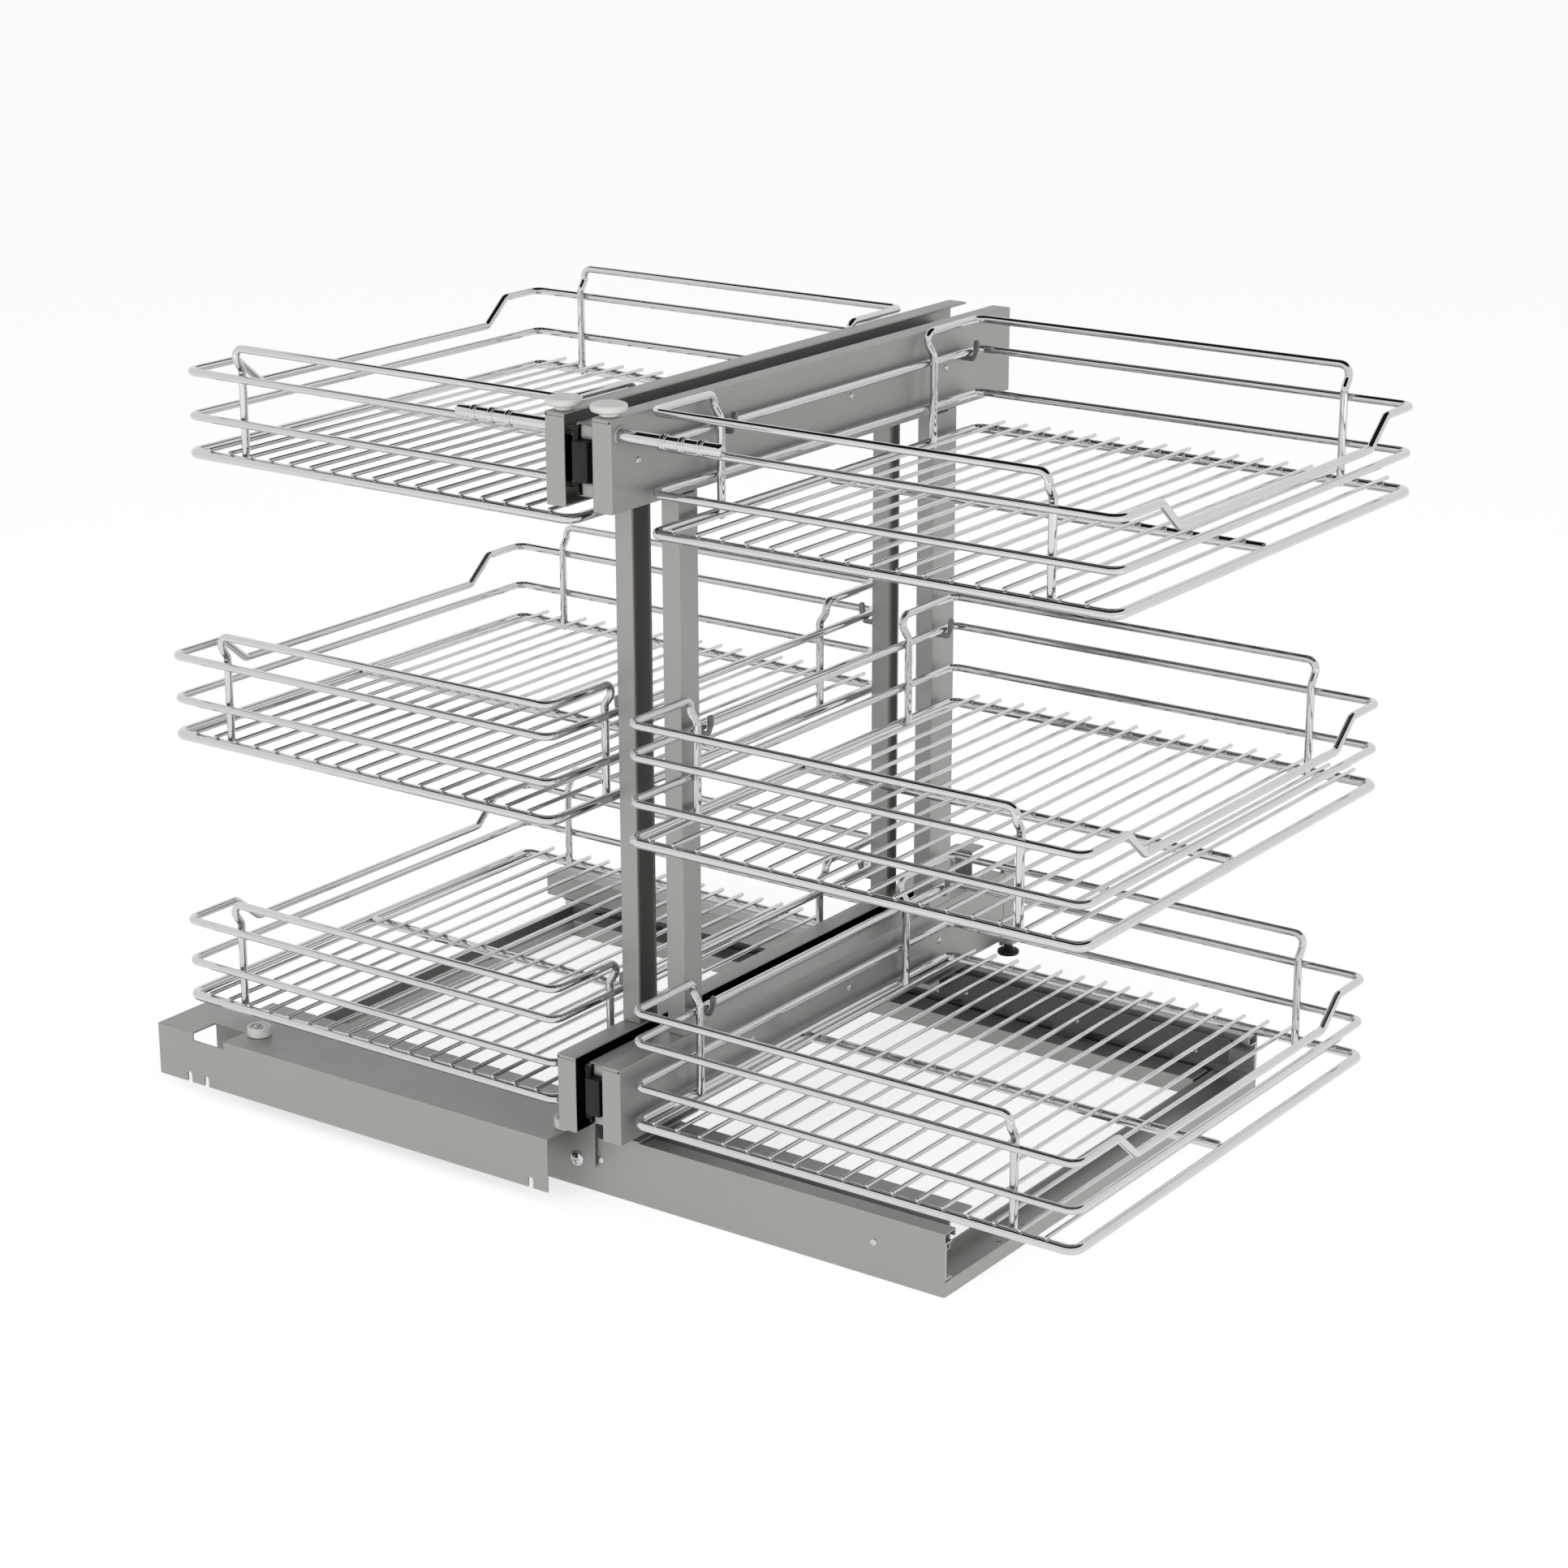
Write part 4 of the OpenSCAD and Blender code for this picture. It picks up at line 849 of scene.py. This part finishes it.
SHEETS = {
    "base": ("front_rail", "back_rail", "side_member_left", "side_member_right", "front_guide", "back_guide",
             "front_track", "back_track"),
    "carriage": ("front_cover", "back_apron", "front_saddle", "back_saddle", "bottom_beam", "top_beam", "masts",
                 "outer_slides"),
    "frame_right": ("top_channel_right", "bottom_channel_right", "front_post_right", "back_post_right",
                    "inner_slides_right"),
    "frame_left": ("top_channel_left", "bottom_channel_left", "front_post_left", "back_post_left",
                   "inner_slides_left"),
}
SLIDE_PARTS = ("front_track", "back_track", "outer_slides", "inner_slides_right", "inner_slides_left")
for body, nodes in SHEETS.items():
    for node in nodes:
        if node in SLIDE_PARTS:
            softened(node, ZINC, body)
        # Painted shade: the back guide wall is grey sheet drawn dark for the shade on it.
        elif node == "back_guide":
            softened(node, PAINTED_SHADE_SHEET, body)
        elif "_channel_" in node or "_post_" in node:
            softened(node, GREY_SHEET, body, bend_r=CHANNEL_FOLD_R)
        else:
            softened(node, GREY_SHEET, body)

for side in SIDES:
    for level in range(len(LEVELS)):
        basket_rim(side, level)
        basket_floor(side, level)
    handle(side)
    rivets(side)
    top_roller(side)
    foot(side)
    hooks(side)
    painted_seam_shadows(side)
cover_rollers()
rail_pins()
end_caps()
beam_noses()
low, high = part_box("saddle_screw")
seat = Vector(((low[0] + high[0]) / 2, low[1] + SADDLE_HEAD_SEAT * MM, (low[2] + high[2]) / 2))
dome_screw("saddle_screw_head", seat, (0, -1, 0), SADDLE_HEAD, "carriage", CHROME, ["saddle_screw"])
for index, (x, z) in enumerate(GUIDE_SCREWS):
    dome_screw(f"guide_screw_{index}", mm(x, GUIDE_SCREW_Y, z), (0, -1, 0), GUIDE_HEAD, "base", SCREW_STEEL)


# The studio, in metres and watts.
CENTRE = (0.09, -0.05, 0.3)
LENS = 81.47                            # millimetres
CAMERA_PLACE = (1.6198, -2.1994, 1.1553)
CAMERA_AIM = (0.0915, -0.0558, 0.2932)
CAMERA_ROLL = math.radians(-0.11)
WORLD_FILL = 0.42
FLOOR_HALF = 14
FLOOR_GLOW = 0.62


def look_at(item, target, roll=0.0):
    """Points an object's -Z at a place, with a roll in radians."""
    toward = (Vector(target) - item.location).to_track_quat("-Z", "Y")
    item.rotation_euler = (toward.to_matrix() @ Matrix.Rotation(roll, 3, "Z")).to_euler()


def add_camera():
    """The camera, solved from the photograph."""
    data = bpy.data.cameras.new("camera")
    data.sensor_fit = "HORIZONTAL"
    data.sensor_width = 36
    data.lens = LENS
    data.clip_start = 0.05
    data.clip_end = 60
    camera = linked("camera", data)
    camera.location = CAMERA_PLACE
    look_at(camera, CAMERA_AIM, CAMERA_ROLL)
    bpy.context.scene.camera = camera


def add_softbox(name, place, target, wide, high, power):
    """A soft lamp that shiny surfaces do not mirror."""
    data = bpy.data.lights.new(name, "AREA")
    data.shape = "RECTANGLE"
    data.size = wide
    data.size_y = high
    data.energy = power
    lamp = linked(name, data)
    lamp.location = place
    lamp.visible_glossy = False
    look_at(lamp, target)


def white_where_seen(tree, shade, out):
    """Joins two shaders to the output: the second is for camera, glossy and transmission rays."""
    rays = tree.nodes.new("ShaderNodeLightPath")
    seen = math_node(tree, "MAXIMUM", rays.outputs["Is Camera Ray"], rays.outputs["Is Glossy Ray"])
    seen = math_node(tree, "MAXIMUM", seen, rays.outputs["Is Transmission Ray"])
    mix = tree.nodes.new("ShaderNodeMixShader")
    tree.links.new(seen, mix.inputs[0])
    tree.links.new(shade[0], mix.inputs[1])
    tree.links.new(shade[1], mix.inputs[2])
    tree.links.new(mix.outputs[0], out)


def add_world():
    """A white surround that lights the set by less than it shows."""
    world = bpy.data.worlds.new("studio")
    bpy.context.scene.world = world
    world.use_nodes = True
    tree = world.node_tree
    dim = tree.nodes["Background"]
    dim.inputs["Color"].default_value = (1, 1, 1, 1)
    dim.inputs["Strength"].default_value = WORLD_FILL
    bright = tree.nodes.new("ShaderNodeBackground")
    bright.inputs["Color"].default_value = (1, 1, 1, 1)
    bright.inputs["Strength"].default_value = 1.0
    white_where_seen(tree, (dim.outputs[0], bright.outputs[0]), tree.nodes["World Output"].inputs["Surface"])


def add_floor():
    """A pale floor that shows white to the camera but for the object's shadow."""
    shape = bmesh.new()
    bmesh.ops.create_grid(shape, x_segments=1, y_segments=1, size=FLOOR_HALF)
    bmesh.ops.translate(shape, vec=mm(0, 0, -0.4), verts=shape.verts)
    mesh = as_mesh("floor_sheet", shape)
    floor = linked("floor_sheet", mesh)
    paper = bpy.data.materials.new("floor_paper")
    paper.use_nodes = True
    tree = paper.node_tree
    shader = tree.nodes["Principled BSDF"]
    shader.inputs["Base Color"].default_value = (0.8, 0.8, 0.8, 1)
    shader.inputs["Roughness"].default_value = 0.9
    shader.inputs["Specular IOR Level"].default_value = 0.0
    glow = tree.nodes.new("ShaderNodeEmission")
    glow.inputs["Strength"].default_value = FLOOR_GLOW
    lit = tree.nodes.new("ShaderNodeAddShader")
    tree.links.new(shader.outputs[0], lit.inputs[0])
    tree.links.new(glow.outputs[0], lit.inputs[1])
    white_where_seen(tree, (shader.outputs[0], lit.outputs[0]), tree.nodes["Material Output"].inputs["Surface"])
    mesh.materials.append(paper)


def add_dark_card(name, place, target, radius, tone):
    """A round dark card over the set that only the shiny surfaces see."""
    shape = bmesh.new()
    bmesh.ops.create_circle(shape, cap_ends=True, segments=96, radius=radius)
    mesh = as_mesh(name, shape)
    card = linked(name, mesh)
    card.location = place
    look_at(card, target)
    card.visible_camera = False
    card.visible_diffuse = False
    card.visible_shadow = False
    felt = bpy.data.materials.new(name)
    felt.use_nodes = True
    tree = felt.node_tree
    glow = tree.nodes.new("ShaderNodeEmission")
    glow.inputs["Color"].default_value = (tone, tone, tone, 1)
    glow.inputs["Strength"].default_value = 1.0
    tree.links.new(glow.outputs[0], tree.nodes["Material Output"].inputs["Surface"])
    mesh.materials.append(felt)


add_camera()
add_world()
add_floor()
add_softbox("front_softbox", (-0.6, -3.4, 1.1), CENTRE, 2.4, 1.8, 36.5)
add_softbox("side_softbox", (3.6, -0.9, 1.0), CENTRE, 2.0, 1.8, 44)
add_dark_card("ceiling_card", (0.09, -0.05, 3.3), CENTRE, 3.15, 0.012)

bpy.context.scene.view_settings.view_transform = "Standard"
